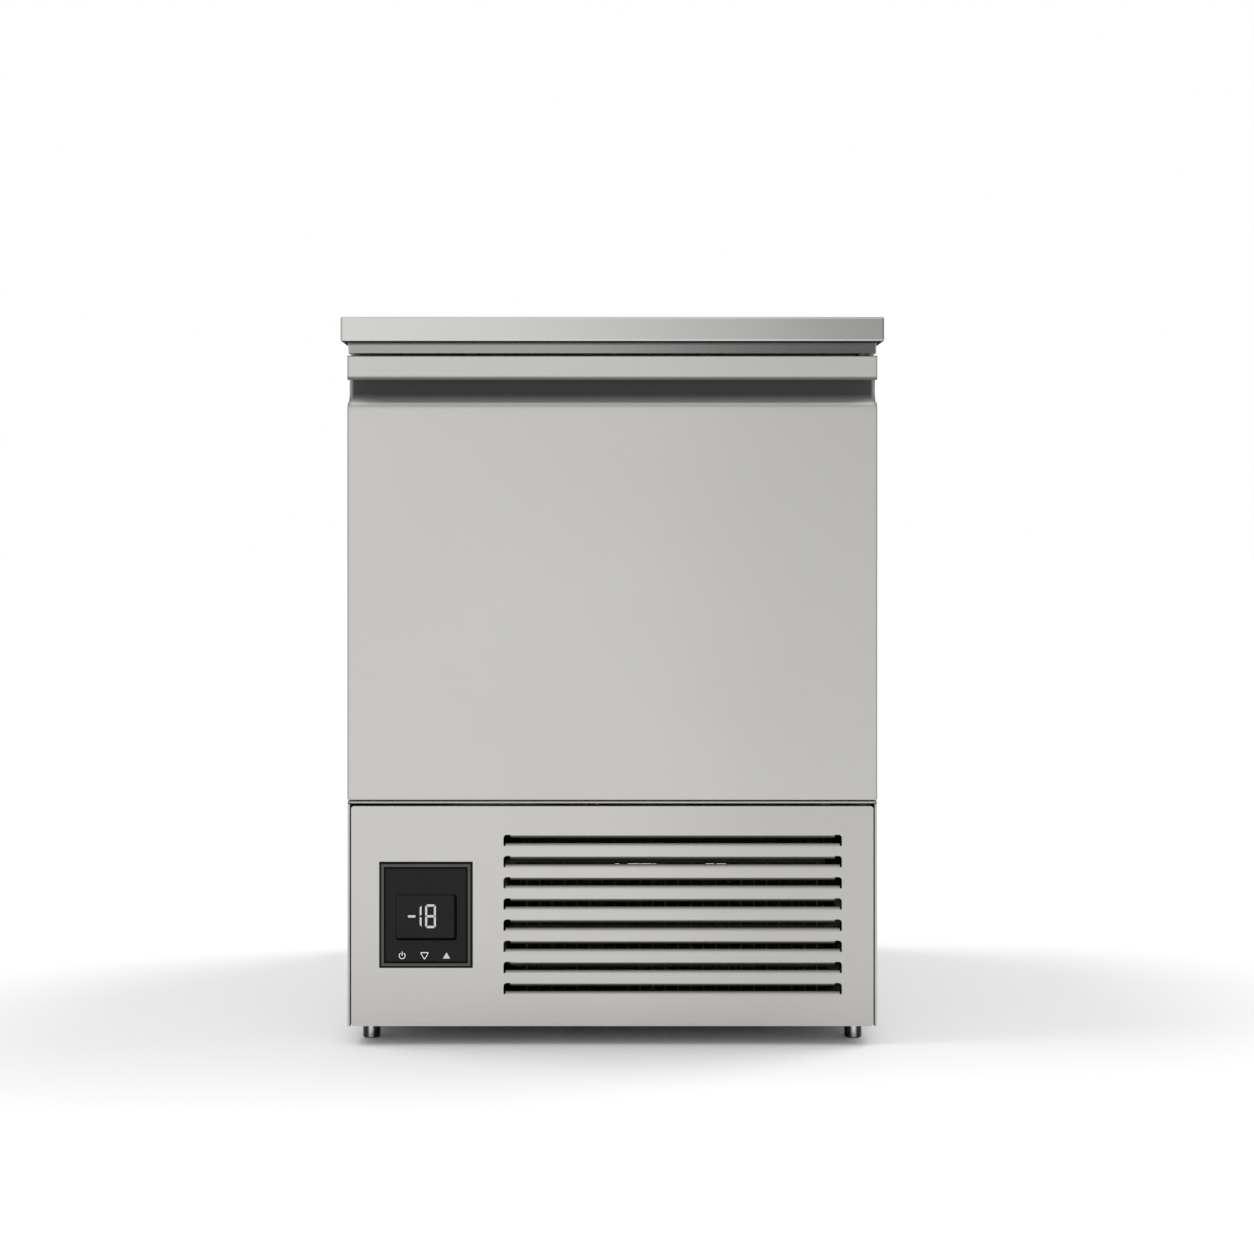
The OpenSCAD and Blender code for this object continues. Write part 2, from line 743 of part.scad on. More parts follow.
// Louvred panel in front of the machine, pressed from one sheet
panel_w = x_out - hem_w - panel_gap;
z_panel_top = z_sill - panel_top_gap;
module grille_panel() {
    tops = [for (i = [0:slot_n - 1]) z_base + slot_z + i * slot_pitch];
    color(steel) union() {
        difference() {
            along_y(y_panel, y_panel + panel_t) round_rect(panel_w, z_base, z_panel_top, panel_r);
            along_y(y_panel - 1, y_panel + panel_t + 1) {
                for (z = tops) slot_outline(z);
                translate([-ctl_x, z_base + ctl_z])
                    square([ctl_w - 2 * hole_in, ctl_h - 2 * hole_in], center = true);
            }
        }
        along_y(y_panel, y_panel + panel_flange) difference() {
            round_rect(panel_w, z_base, z_panel_top, panel_r);
            round_rect(panel_w - panel_t, z_base + panel_t, z_panel_top - panel_t,
                panel_r - panel_t);
        }
        for (z = tops) slot_lips(z);
    }
}
hole_in = 4;
rim_foot = 0.4;

// Black frame of the controller with a bevelled rim and its housing behind the panel
module control_bezel() {
    out_w = ctl_w - 2 * hole_in - 2 * seat;
    out_h = ctl_h - 2 * hole_in - 2 * seat;
    color(black) translate([-ctl_x, y_panel, z_base + ctl_z]) union() {
        mitred_ring(ctl_w, ctl_h, rim_w) polygon([[0, 0], [0, -rim_foot], [-rim_bevel, -rim_t],
            [-rim_bevel - ridge_w, -rim_t], [-rim_bevel - ridge_w - rim_foot, -rim_foot],
            [-rim_w, -rim_foot], [-rim_w, 0]]);
        difference() {
            slab([-out_w / 2, 0, -out_h / 2], [out_w / 2, ctl_d, out_h / 2]);
            slab([ctl_wall - out_w / 2, -1, ctl_wall - out_h / 2],
                [out_w / 2 - ctl_wall, ctl_d - ctl_wall, out_h / 2 - ctl_wall]);
        }
    }
}

// Glossy face inside the rim, with a shallow seat for the display window
face_w = ctl_w - 2 * rim_w;
face_h = ctl_h - 2 * rim_w;
win_z = face_h / 2 - win_top - win_h / 2;
face_front = 1.6;
face_back = 0.9;
face_seat = 0.6;
face_t = face_front + face_back;
win_r = 3;
win_play = 0.2;
win_shade = 1;
win_front = 2.2;

// Outline of the window, its upper and left sides in by play and the others out by shade
module window_outline(play, shade) {
    translate([shade / 2, 0]) round_rect((win_w + shade) / 2 - play, win_z - win_h / 2 - shade + play,
        win_z + win_h / 2 - play, win_r);
}

module control_face() {
    color([0.1, 0.1, 0.105]) translate([-ctl_x, y_panel, z_base + ctl_z]) difference() {
        slab([eps - face_w / 2, -face_front, eps - face_h / 2],
            [face_w / 2 - eps, face_back, face_h / 2 - eps]);
        along_y(-face_t, -face_seat) window_outline(0, win_shade);
    }
}

// Smoked window over the figures
module display_window() {
    color([0.08, 0.08, 0.085]) translate([-ctl_x, y_panel, z_base + ctl_z])
        along_y(-win_front, -face_seat) window_outline(win_play, 0);
}

// Circuit board with its relay, terminals and chip, on four posts behind the face
board_w = ctl_w - 24.5;
board_h = ctl_h - 26.6;
board_y = 8;
board_t = 1.6;
post_in = 8;
module control_board() {
    y1 = board_y + board_t;
    color([0.1, 0.35, 0.2]) translate([-ctl_x, y_panel, z_base + ctl_z]) union() {
        slab([-board_w / 2, board_y, -board_h / 2], [board_w / 2, y1, board_h / 2]);
        slab([10 - board_w / 2, y1, post_in - board_h / 2], [29 - board_w / 2, 23, 24 - board_h / 2]);
        slab([board_w / 2 - 38, y1, 6 - board_h / 2], [board_w / 2 - 6, 20, 16 - board_h / 2]);
        slab([-14, y1, 4], [6, 12, 24]);
        for (x = [-1, 1], z = [-1, 1])
            rod_y(x * (board_w / 2 - post_in), z * (board_h / 2 - post_in), 2.5, face_back, board_y);
    }
}

// Shelf heights: the room is shared into equal bays
function shelf_z(i) = z_floor + room_h * i / (shelf_n + 1);

// Uprights and ledges that carry the shelves along the left wall
module shelf_rails() {
    color(steel) translate([-x_room, 0, 0]) union() {
        for (y = [y_shelf + rail_front, y_rails - rail_back])
            slab([0, y, z_floor + rail_low], [ledge_t, y + rail_w, z_ceil - rail_high]);
        for (i = [1:shelf_n])
            along_y(y_shelf + ledge_t, y_rails) translate([0, shelf_z(i)])
                polygon([[ledge_t, -ledge_w], [2 * ledge_t, -ledge_w], [2 * ledge_t, -ledge_t],
                    [ledge_w, -ledge_t], [ledge_w, 0], [ledge_t, 0]]);
    }
}

module shelf_rails_left() {
    shelf_rails();
}

module shelf_rails_right() {
    mirror([1, 0, 0]) shelf_rails();
}

// Wire shelf: a bent frame, two cross rods and the deck wires welded on top
weld = 0.6;
module wire_shelf(level) {
    hx = x_room - 2 * ledge_t - frame_r - shelf_play;
    y0 = y_shelf;
    y1 = y_shelf + shelf_d;
    z = shelf_z(level) + seat + frame_r;
    z_wire = z + frame_r + wire_r - weld;
    color(white) union() {
        for (x = [-hx, hx]) rod_y(x, z, frame_r, y0 + shelf_r, y1 - shelf_r);
        for (y = [y0, y1]) rod_x(y, z, frame_r, shelf_r - hx, hx - shelf_r);
        for (c = [[1, -1, y1], [-1, 1, y0], [1, 1, y0], [-1, -1, y1]])
            translate([c[0] * (hx - shelf_r), c[2] + c[1] * shelf_r, z])
                rotate([0, 0, c[0] > 0 ? (c[1] < 0 ? 0 : 270) : (c[1] < 0 ? 90 : 180)])
                    rotate_extrude(angle = 90) translate([shelf_r, 0]) circle(frame_r);
        for (y = [y0 + shelf_d / 3, y0 + shelf_d * 2 / 3]) rod_x(y, z, cross_r, -hx, hx);
        for (k = [0:wire_n - 1])
            rod_y((k - (wire_n - 1) / 2) * 2 * (hx - shelf_r) / (wire_n - 1), z_wire, wire_r,
                y0 - 1, y1 + 1);
    }
}

module shelf_lower() {
    wire_shelf(1);
}

module shelf_middle() {
    wire_shelf(2);
}

module shelf_upper() {
    wire_shelf(3);
}

// Sheet cover in front of the evaporator, with the fan's outlet and the return-air slots
z_evap = z_floor + evap_z;
fan_z = z_ceil - evap_fan_top;
air_n = 7;
air_pitch = 28;
air_w = 20;
air_h = 6;
air_rise = 14;
cover_hem = 15;
module evaporator_cover() {
    path = [[y_evap + cover_hem, z_ceil - 1], [y_evap, z_ceil - 1], [y_evap, z_evap],
        [y_room - 1, z_evap]];
    color(steel) difference() {
        along_x(liner_r - x_room, x_room - liner_r) polygon(folded(path, cover_t));
        rod_y(0, fan_z, evap_fan_r + 4, y_evap - 1, y_evap + 2 * cover_t);
        for (k = [-air_n:air_n])
            slab([k * air_pitch - air_w / 2, y_evap - 1, z_evap + air_rise],
                [k * air_pitch + air_w / 2, y_evap + 2 * cover_t, z_evap + air_rise + air_h]);
        translate([drain_x, drain_y, z_evap - 1]) cylinder(r = drain_r + seat, h = cover_t + 2);
    }
}

// Fins and tubes: straight tubes with U-bends at their ends, through a row of fins
tube_out = 8;
module finned_coil(w, d, h, fins, rows, cols, stand = 0) {
    pitch_z = h / rows;
    pitch_y = d / cols;
    x_bend = w / 2 + tube_out;
    union() {
        for (k = [0:fins - 1])
            slab([(k / (fins - 1) - 0.5) * (w - fin_t) - fin_t / 2, 0, 0],
                [(k / (fins - 1) - 0.5) * (w - fin_t) + fin_t / 2, d, h]);
        for (x = [-w / 2, w / 2 - 2 * fin_t]) slab([x, 0, -stand], [x + 2 * fin_t, d, h]);
        for (c = [0:cols - 1], r = [0:rows - 1])
            rod_x((c + 0.5) * pitch_y, (r + 0.5) * pitch_z, tube_r, -x_bend, x_bend);
        for (c = [0:cols - 1], r = [0:rows - 2])
            translate([r % 2 == 0 ? x_bend : -x_bend, (c + 0.5) * pitch_y, (r + 1) * pitch_z])
                rotate([90, r % 2 == 0 ? 90 : -90, 0]) rotate_extrude(angle = 180)
                    translate([pitch_z / 2, 0]) circle(tube_r);
    }
}

coil_w = 2 * (x_room - coil_side);
coil_z = z_evap + coil_rise;
coil_rows = 4;
module evaporator_coil() {
    color([0.75, 0.76, 0.78]) translate([0, y_room - coil_d - seat, coil_z])
        finned_coil(coil_w, coil_d, coil_h, evap_fins, coil_rows, 2);
}

// Motor on three arms: the arms' feet stand on the plane y_foot, a radius arm_r out
arm_t = 3;
arm_bite = 4;
arm_foot = 8;
module fan_motor(r, l, y, y_foot, arm_r, half_w, turn) {
    difference() {
        union() {
            rod_y(0, 0, r, y, y + l);
            for (a = [0:120:240]) rotate([0, a + turn, 0]) union() {
                slab([r - arm_bite, y, -half_w], [arm_r, y + arm_t, half_w]);
                slab([arm_r - arm_foot, y_foot, -half_w], [arm_r, y + arm_t, half_w]);
            }
        }
        rod_y(0, 0, shaft_r + pin_fit, y - 1, y + l / 2 + 1);
    }
}

wheel_gap = 9;
wheel_l = 24;
// Motor of the evaporator fan, behind the cover's outlet
module evaporator_fan_motor() {
    color(black) translate([0, 0, fan_z])
        fan_motor(evap_motor_r, evap_motor_l, y_evap + wheel_gap + wheel_l + 3,
            y_evap + cover_t + eps, evap_fan_r + 16, 6, 90);
}

// Fan with cambered blades on a hub, its shaft held in the motor
module fan_wheel(r, hub_r, hub_l, blades, pitch, shaft_l) {
    union() {
        difference() {
            rod_y(0, 0, hub_r, 0, hub_l);
            rod_y(0, 0, hub_r - 2.5, -1, 2.5);
        }
        rod_y(0, 0, shaft_r, hub_l - 1, hub_l + shaft_l);
        intersection() {
            rod_y(0, 0, r, -1, hub_l + 1);
            union() for (k = [0:blades - 1])
                rotate([0, 360 * k / blades, 0]) translate([0, hub_l / 2, 0])
                    rotate([pitch, 0, 0]) translate([hub_r - 1.5, camber_r - 2, 0]) rotate([0, 90, 0])
                        intersection() {
                            difference() {
                                cylinder(r = camber_r, h = r);
                                translate([0, 0, -1]) cylinder(r = camber_r - 1.6, h = r + 2);
                            }
                            translate([-r * 0.34, -camber_r - 1, -1]) cube([r * 0.68, camber_r, r + 2]);
                        }
        }
    }
}
camber_r = 90;

module evaporator_fan() {
    color(black) translate([0, y_evap + wheel_gap, fan_z])
        fan_wheel(evap_fan_r, 17, wheel_l, 5, 28, evap_motor_l / 2 - 1);
}

// Wire guard over the outlet
guard_r = 1.3;
ring_n = 4;
module fan_guard() {
    step = (evap_fan_r + 8) / ring_n;
    reach = ring_n * step + 1;
    color(steel) translate([0, y_evap - guard_r - seat, fan_z]) union() {
        for (k = [1:ring_n])
            rotate([90, 0, 0]) rotate_extrude() translate([k * step, 0]) circle(guard_r);
        for (a = [0:60:120]) rotate([0, a, 0]) rod_x(-2, 0, guard_r, -reach, reach);
    }
}

drain_x = x_room - drain_side;
drain_y = y_room - drain_back;
z_drip = z_evap + cover_t + seat;
drip_t = 1.2;
// Tray that gathers the melt water under the coil
module drip_tray() {
    w = x_room - drip_side;
    y1 = y_room - drip_back;
    color(zinc) difference() {
        slab([-w, y1 - drip_d, z_drip], [w, y1, z_drip + drip_h]);
        slab([drip_t - w, y1 - drip_d + drip_t, z_drip + drip_t],
            [w - drip_t, y1 - drip_t, z_drip + drip_h + 1]);
        translate([drain_x, drain_y, z_drip - 1]) cylinder(r = drain_r + seat, h = drip_t + 2);
    }
}

// Tube from the drip tray down through the foamed floor, with a rim in the tray
drain_out = 34;
drain_t = 1.5;
rim_up = 0.8;
module drain_tube() {
    l = z_drip + drip_t + rim_up - z_case + drain_out;
    color([0.2, 0.2, 0.2]) translate([drain_x, drain_y, z_case - drain_out]) difference() {
        union() {
            cylinder(r = drain_r, h = l);
            translate([0, 0, l - rim_up + seat / 3]) cylinder(r = drain_r + 4, h = rim_up);
        }
        translate([0, 0, -1]) cylinder(r = drain_r - drain_t, h = l + 3);
    }
}

// Heating rod bent to a U under the coil
module defrost_heater() {
    x1 = coil_w / 2 - heat_in;
    color(dark_steel) translate([0, y_room - seat - coil_d / 2, coil_z - heat_r - seat]) union() {
        for (s = [-1, 1]) rod_x(s * heat_bend, 0, heat_r, -x1, x1);
        translate([x1, 0, 0]) rotate([0, 0, -90])
            rotate_extrude(angle = 180) translate([heat_bend, 0]) circle(heat_r);
    }
}

// Sensor capsule in its clip on the cover
clip_t = 0.3;
module temperature_probe() {
    r = probe_r;
    l = probe_l;
    color(black) translate([probe_side - x_room, y_evap - 1.5 * r, z_evap + probe_rise]) union() {
        rotate([0, 90, 0]) rotate_extrude()
            polygon([[0, 0], [r - 1.5, 0], [r, 2], [r, l - 4], [r - 1, l], [0, l]]);
        slab([l / 2 - 9, -0.5, -r - 1.5], [l / 2 + 1, 1.5 * r - clip_t, r + 1.5]);
    }
}

comp_x = comp_side - x_out;
comp_y = y_back - comp_back;
comp_z = z_base + tray_t + comp_rise;
stub_rise = 60;
stub_l = 16;
stubs = [[-24, stub_rise], [0, 2 * stub_rise - 2], [26, stub_rise]];
plate_in = 6;
mount_in = [8, 18];
bolt_r = 5;
base_round = 26;
top_round = 34;
base_flat = 0.6;
top_flat = 0.3;
weld_at = 0.56;
weld_t = 3.5;
weld_w = 4;
// Hermetic compressor: drawn shell with a weld flange, foot plate and three stubs
module compressor() {
    r = comp_r;
    h = comp_h;
    z_weld = h * weld_at;
    profile = concat([[0, 0], [r * base_flat, 0]],
        arc([r - base_round, base_round], base_round, -70, 0, 6), [[r, z_weld],
        [r + weld_w, z_weld], [r + weld_w, z_weld + weld_t], [r, z_weld + weld_t]],
        arc([r - top_round, h - top_round], top_round, 0, 78, 7), [[r * top_flat, h], [0, h]]);
    color([0.06, 0.06, 0.065]) translate([comp_x, comp_y, comp_z]) union() {
        rotate_extrude() polygon(profile);
        difference() {
            slab([-r - 4, plate_in - r, -3], [r + 4, r - plate_in, 1]);
            at_mounts() translate([0, 0, -5]) cylinder(r = bolt_r + seat, h = 10);
        }
        for (s = stubs) rod_x(s[0], s[1], pipe_r + 1, r - 6, r + stub_l);
    }
}
module at_mounts() {
    for (x = [mount_in[0] - comp_r, comp_r - mount_in[0]],
            y = [mount_in[1] - comp_r, comp_r - mount_in[1]])
        translate([x, y, 0]) children();
}

// Rubber grommets between foot plate and base tray
module compressor_mounts() {
    z_top_bead = comp_rise + 1.5;
    color([0.09, 0.09, 0.09]) translate([comp_x, comp_y, comp_z - comp_rise])
        at_mounts() rotate_extrude() polygon([[0, 0], [9, 0], [8, comp_rise / 2 - 1.5],
            [9, comp_rise - 3.2], [bolt_r, comp_rise - 3.2], [bolt_r, z_top_bead],
            [8, z_top_bead], [8, z_top_bead + 2.5], [0, z_top_bead + 2.5]]);
}

// Cover over the compressor's terminals
box_w = 56;
box_h = 48;
box_d = 30;
box_rise = 62;
box_t = 2;
module terminal_box() {
    color(black) translate([comp_x, comp_y - comp_r, comp_z + box_rise]) difference() {
        slab([-box_w / 2, -box_d, -box_h / 2], [box_w / 2, 6, box_h / 2]);
        slab([box_t - box_w / 2, box_t - box_d, box_t - box_h / 2],
            [box_w / 2 - box_t, 7, box_h / 2 - box_t]);
        translate([0, comp_r, -box_h]) cylinder(r = comp_r + seat, h = 2 * box_h);
    }
}

cond_x = x_out - cond_side - cond_w / 2;
cond_y = y_panel + cond_set;
cond_foot = 2;
cond_z = z_base + tray_t + seat + cond_foot;
cond_mid = cond_z + cond_h / 2;
cond_rows = 5;
bends = 15;
// Finned condenser behind the louvres
module condenser_coil() {
    color([0.14, 0.14, 0.15]) translate([cond_x, cond_y, cond_z])
        finned_coil(cond_w - 2 * bends, cond_d, cond_h, cond_fins, cond_rows, 2, cond_foot);
}

// Sheet duct that draws the air through the condenser to the fan
fan_y = cond_y + cond_d;
duct_foot = 20;
module condenser_shroud() {
    w = cond_w / 2 - 6;
    color(zinc) translate([cond_x, fan_y, cond_z]) difference() {
        union() {
            slab([-w, seat, -cond_foot], [w, duct_d, cond_h + 3]);
            slab([-w, seat, -cond_foot], [w, duct_d + duct_foot, duct_t - cond_foot]);
        }
        slab([duct_t - w, -1, duct_t - cond_foot], [w - duct_t, duct_d - duct_t, cond_h + 3 - duct_t]);
        rod_y(0, cond_h / 2, cond_fan_r + 6, duct_d - 2 * duct_t, duct_d + 1);
    }
}

// Motor of the condenser fan, behind the duct
wheel_set = 2;
cond_wheel_l = 26;
module condenser_fan_motor() {
    color([0.1, 0.1, 0.11]) translate([cond_x, 0, cond_mid])
        fan_motor(cond_motor_r, cond_motor_l, fan_y + duct_d + wheel_set + cond_wheel_l + 2,
            fan_y + duct_d, cond_fan_r + 17, 7, 30);
}

module condenser_fan() {
    color([0.1, 0.1, 0.11]) translate([cond_x, fan_y + duct_d + wheel_set, cond_mid])
        fan_wheel(cond_fan_r, 22, cond_wheel_l, 5, 30, cond_motor_l / 2 - 4);
}

drier_x = comp_x + comp_r + drier_gap + drier_r;
drier_y = y_back - comp_back / 2;
drier_top = 27;
drier_z = z_sill - drier_top - drier_l;
neck_r = pipe_r + 0.5;
// Copper filter capsule, standing in the liquid line
module filter_drier() {
    l = drier_l;
    color(copper) translate([drier_x, drier_y, drier_z]) rotate_extrude()
        polygon([[0, 0], [neck_r, 0], [neck_r, 6], [drier_r, 20], [drier_r, l - 18],
            [neck_r, l - 6], [neck_r, l], [0, l]]);
}

stub_x = comp_x + comp_r + stub_l;
z_stub = comp_z + stub_rise;
bend_r = 12;
pipe_out = 16;
loop_d = 60;
lift = 20;
sleeve_out = 40;
// Hot gas pipe from compressor to condenser
module discharge_pipe() {
    end = [cond_x + cond_w / 2 - bends + tube_out, fan_y - cond_d / 4,
        cond_z + cond_h * (1 - 0.5 / cond_rows)];
    y0 = comp_y + stubs[0][0];
    x1 = stub_x + pipe_out - 2;
    x2 = end[0] + pipe_out;
    z_run = z_sill - 22;
    color(copper) swept_tube(rounded_route([[stub_x, y0, z_stub], [x1, y0, z_stub],
        [x1, y0, z_run], [x2, comp_y - loop_d, z_run], [x2, end[1], z_run], [x2, end[1], end[2]],
        end], bend_r), pipe_r);
}

// Liquid pipe from condenser to filter drier
module liquid_pipe() {
    z0 = cond_z + cond_h * 0.5 / cond_rows;
    y0 = fan_y - cond_d / 4;
    x0 = cond_x - cond_w / 2 + bends - tube_out;
    x1 = x0 - pipe_out;
    color(copper) swept_tube(rounded_route([[x0, y0, z0], [x1, y0, z0], [x1, fan_y + loop_d, z0],
        [drier_x, drier_y - loop_d, z0], [drier_x, drier_y, z0 + lift], [drier_x, drier_y, drier_z]],
        bend_r), pipe_r);
}

// Insulated suction pipe from the cold room to the compressor
module suction_pipe() {
    x1 = stub_x + sleeve_out;
    y0 = comp_y + stubs[2][0];
    color([0.05, 0.05, 0.05]) swept_tube(rounded_route([[x1, y0, z_case - sheet],
        [x1, y0, z_stub], [stub_x, y0, z_stub]], 2 * sleeve_r), sleeve_r, 10);
}

// Shallow pan where the melt water dries off
module condensate_tray() {
    a = [x_skin - pan_side - pan_w, y_back - pan_back - pan_d, z_base + tray_t + seat];
    b = a + [pan_w, pan_d, pan_h];
    color(black) difference() {
        slab(a, b);
        slab(a + [pan_t, pan_t, pan_t], b + [-pan_t, -pan_t, 1]);
    }
}

inlet_x = inlet_side - x_out;
inlet_z = z_base + inlet_rise;
inlet_d = 28;
well_d = 16;
pin_half = [1, 2.5];
// Appliance inlet with three flat pins in its well
module power_inlet() {
    w = inlet_w / 2;
    h = inlet_h / 2;
    color(black) translate([inlet_x, y_back, inlet_z]) union() {
        difference() {
            union() {
                slab([-w, -inlet_d, -h], [w, -sheet, h]);
                slab([-w - 4, -sheet, -h - 4], [w + 4, -0.1, h + 4]);
            }
            slab([3 - w, -well_d, 4 - h], [w - 3, 1, h - 4]);
        }
        for (p = [[-7, -2], [7, -2], [0, 2.5]])
            slab([p[0] - pin_half[0], -well_d - 1, p[1] - pin_half[1]],
                [p[0] + pin_half[0], -5, p[1] + pin_half[1]]);
    }
}

// Place of the hinge line, at height z
module at_hinge(z) {
    translate([x_out - hinge_in, y_face + hinge_back, z]) children();
}

// Plate with a welded pin, its nose round about the pin line
nose_r = 8;
arm_l = 36;
wing_l = 34;
wing_w = 20;
wing_hole = 8;
hole_r = 2.2;
module hinge_plate(t) {
    linear_extrude(t) difference() {
        union() {
            circle(nose_r);
            translate([-nose_r, 0]) square([2 * nose_r, arm_l]);
            translate([-wing_l, arm_l - wing_w]) square([wing_l + nose_r, wing_w]);
        }
        for (x = [wing_hole - wing_l, 0]) translate([x, arm_l - wing_w / 2 + 1]) circle(hole_r);
    }
}

module hinge_bracket_top() {
    color(zinc) at_hinge(z_header - plate_top_t) union() {
        hinge_plate(plate_top_t);
        translate([0, 0, z_lid - pin_top_l - z_header + plate_top_t])
            cylinder(r = pin_r, h = pin_top_l + gap_top - plate_top_t + 1);
    }
}

module hinge_bracket_bottom() {
    color(zinc) at_hinge(z_sill - plate_low_t) union() {
        hinge_plate(plate_low_t);
        cylinder(r = pin_r, h = plate_low_t + sill_t + gap_low + pin_low_l);
    }
}

// Face of the door from its upper to its lower back corner: lip, finger recess, front
z_lip = z_lid - lip_h;
z_hook = z_lip + hook_h;
hook_r = 5;
scoop_r = scoop_d - scoop_edge;
z_scoop = z_lip - recess_h + scoop_edge + scoop_r;
door_path = distinct(concat([[y_door, z_lid - door_ret], [y_door, z_lid]],
    arc([y_face + door_r, z_lid - door_r], door_r, 90, 180),
    arc([y_face + lip_t / 2, z_lip + lip_t / 2], lip_t / 2, 180, 360, 10),
    arc([y_face + lip_t + hook_r, z_hook - hook_r], hook_r, 180, 90),
    arc([y_face + scoop_d - hook_r, z_hook - hook_r], hook_r, 90, 0),
    arc([y_face + scoop_d - scoop_r, z_scoop], scoop_r, 0, -90, 10),
    arc([y_face + scoop_edge, z_scoop - scoop_r - scoop_edge], scoop_edge, 90, 180, 10),
    arc([y_face + door_r, z_door + door_r], door_r, 180, 270),
    [[y_door, z_door], [y_door, z_door + door_ret]]));
door_last = len(door_path) - 1;

// Door sheet folded from one piece, its grip running from end to end
module door_skin() {
    color(steel) difference() {
        along_x(end_t - x_out, x_out - end_t) polygon(folded(door_path, door_sheet));
        at_hinge(z_door - 1) cylinder(r = bush_r + 0.05, h = 5);
        at_hinge(z_lid - 3) cylinder(r = bush_r + 0.05, h = 5);
    }
}

// Plate with the door's own outline that closes its end
module door_end() {
    color(steel) along_x(-x_out, end_t - x_out)
        polygon([for (i = [1:door_last - 1]) door_path[i]]);
}

module door_end_left() {
    door_end();
}

module door_end_right() {
    mirror([1, 0, 0]) door_end();
}

bush_r = pin_r + bush_t;
y_lining = y_door - door_sheet;
// Foam that fills the door
module door_foam() {
    y1 = y_lining - door_liner_t;
    color(foam) difference() {
        along_x(end_t - x_out, x_out - end_t) polygon(concat([[y1, z_lid - door_sheet]],
            [for (i = [2:door_last - 2]) inset(door_path, i, door_sheet)],
            [[y1, z_door + door_sheet]]));
        at_hinge(z_door) cylinder(r = bush_r + 0.05, h = pin_low_l + 2);
        at_hinge(z_lid - pin_top_l - 1) cylinder(r = bush_r + 0.05, h = pin_top_l + 2);
    }
}

dyke_lean = 3;
dyke_round = 2;
dyke_bite = 0.5;
// Formed inner face of the door with its raised ridge
module door_liner() {
    w = 2 * (x_room - dyke_gap);
    h = room_h - 2 * dyke_gap;
    color(white) union() {
        slab([end_t - x_out, y_lining - door_liner_t, z_door + door_sheet],
            [x_out - end_t, y_lining, z_lid - door_sheet]);
        translate([0, y_lining, room_z]) mitred_ring(w, h, dyke_w)
            polygon([[0, -dyke_bite], [-dyke_lean, dyke_h - dyke_round],
                [-dyke_lean - dyke_round, dyke_h], [dyke_lean + 1 - dyke_w, dyke_h],
                [1 - dyke_w, dyke_h - dyke_lean], [-dyke_w, -dyke_bite]]);
    }
}

// Magnetic gasket with mitred corners
seal_x = x_room + 34;
module door_gasket() {
    h = door_h - 2 * (door_ret + 0.5);
    reach = seal_t + door_sheet - seal_gap;
    color([0.55, 0.56, 0.57]) translate([0, y_lining, z_door + door_h / 2])
        mitred_ring(2 * seal_x, h, seal_w) polygon(concat([[0, 0], [0, 1.5]],
            arc([-1, reach / 2], reach / 2 - 1.8, -60, 60, 5),
            [[-1, reach - 1.2], [-2, reach], [2 - seal_w, reach], [1 - seal_w, reach - 1.2]],
            arc([1 - seal_w, reach / 2], reach / 2 - 1.8, 120, 240, 5),
            [[-seal_w, 1.5], [-seal_w, 0]]));
}

// Plastic bushes at both ends of the hinge line
module hinge_bushes() {
    color(black) {
        at_hinge(0) difference() {
            union() {
                translate([0, 0, z_door]) cylinder(r = bush_r, h = pin_low_l + 1);
                translate([0, 0, z_door - gap_low + seat]) cylinder(r = bush_r + 2.5, h = gap_low - seat);
            }
            translate([0, 0, z_door - 10]) cylinder(r = pin_r + pin_fit, h = pin_low_l + 20);
        }
        at_hinge(0) difference() {
            union() {
                translate([0, 0, z_lid - pin_top_l - 0.8]) cylinder(r = bush_r, h = pin_top_l + 0.8);
                translate([0, 0, z_lid]) cylinder(r = bush_r + 2.5, h = gap_top - plate_top_t - seat);
            }
            translate([0, 0, z_lid - pin_top_l - 2]) cylinder(r = pin_r + pin_fit, h = pin_top_l + 10);
        }
    }
}

// Turned foot with a stem that screws into the base tray
module foot(x, y) {
    color([0.8, 0.8, 0.8]) translate([x, y, 0]) rotate_extrude() polygon([[0, 0], [foot_r - 1.5, 0],
        [foot_r, 1.5], [foot_r, z_base - seat - 1], [foot_r - 1, z_base - seat],
        [stem_r, z_base - seat], [stem_r, z_base + stem_l - 1], [stem_r - 1, z_base + stem_l],
        [0, z_base + stem_l]]);
}

module foot_front_left() {
    foot(foot_xs[0], foot_ys[0]);
}

module foot_front_right() {
    foot(foot_xs[1], foot_ys[0]);
}

module foot_rear_left() {
    foot(foot_xs[0], foot_ys[1]);
}

module foot_rear_right() {
    foot(foot_xs[1], foot_ys[1]);
}

// Screws of the rear cover
module screws() {
    color(zinc) at_screws() translate([0, sheet, 0]) rotate([-90, 0, 0]) rotate_extrude()
        polygon([[0, -8], [screw_r, -7], [screw_r, 0], [2 * screw_r, 0],
            [2 * screw_r - 0.6, sheet - 0.1], [0, sheet - 0.05]]);
}

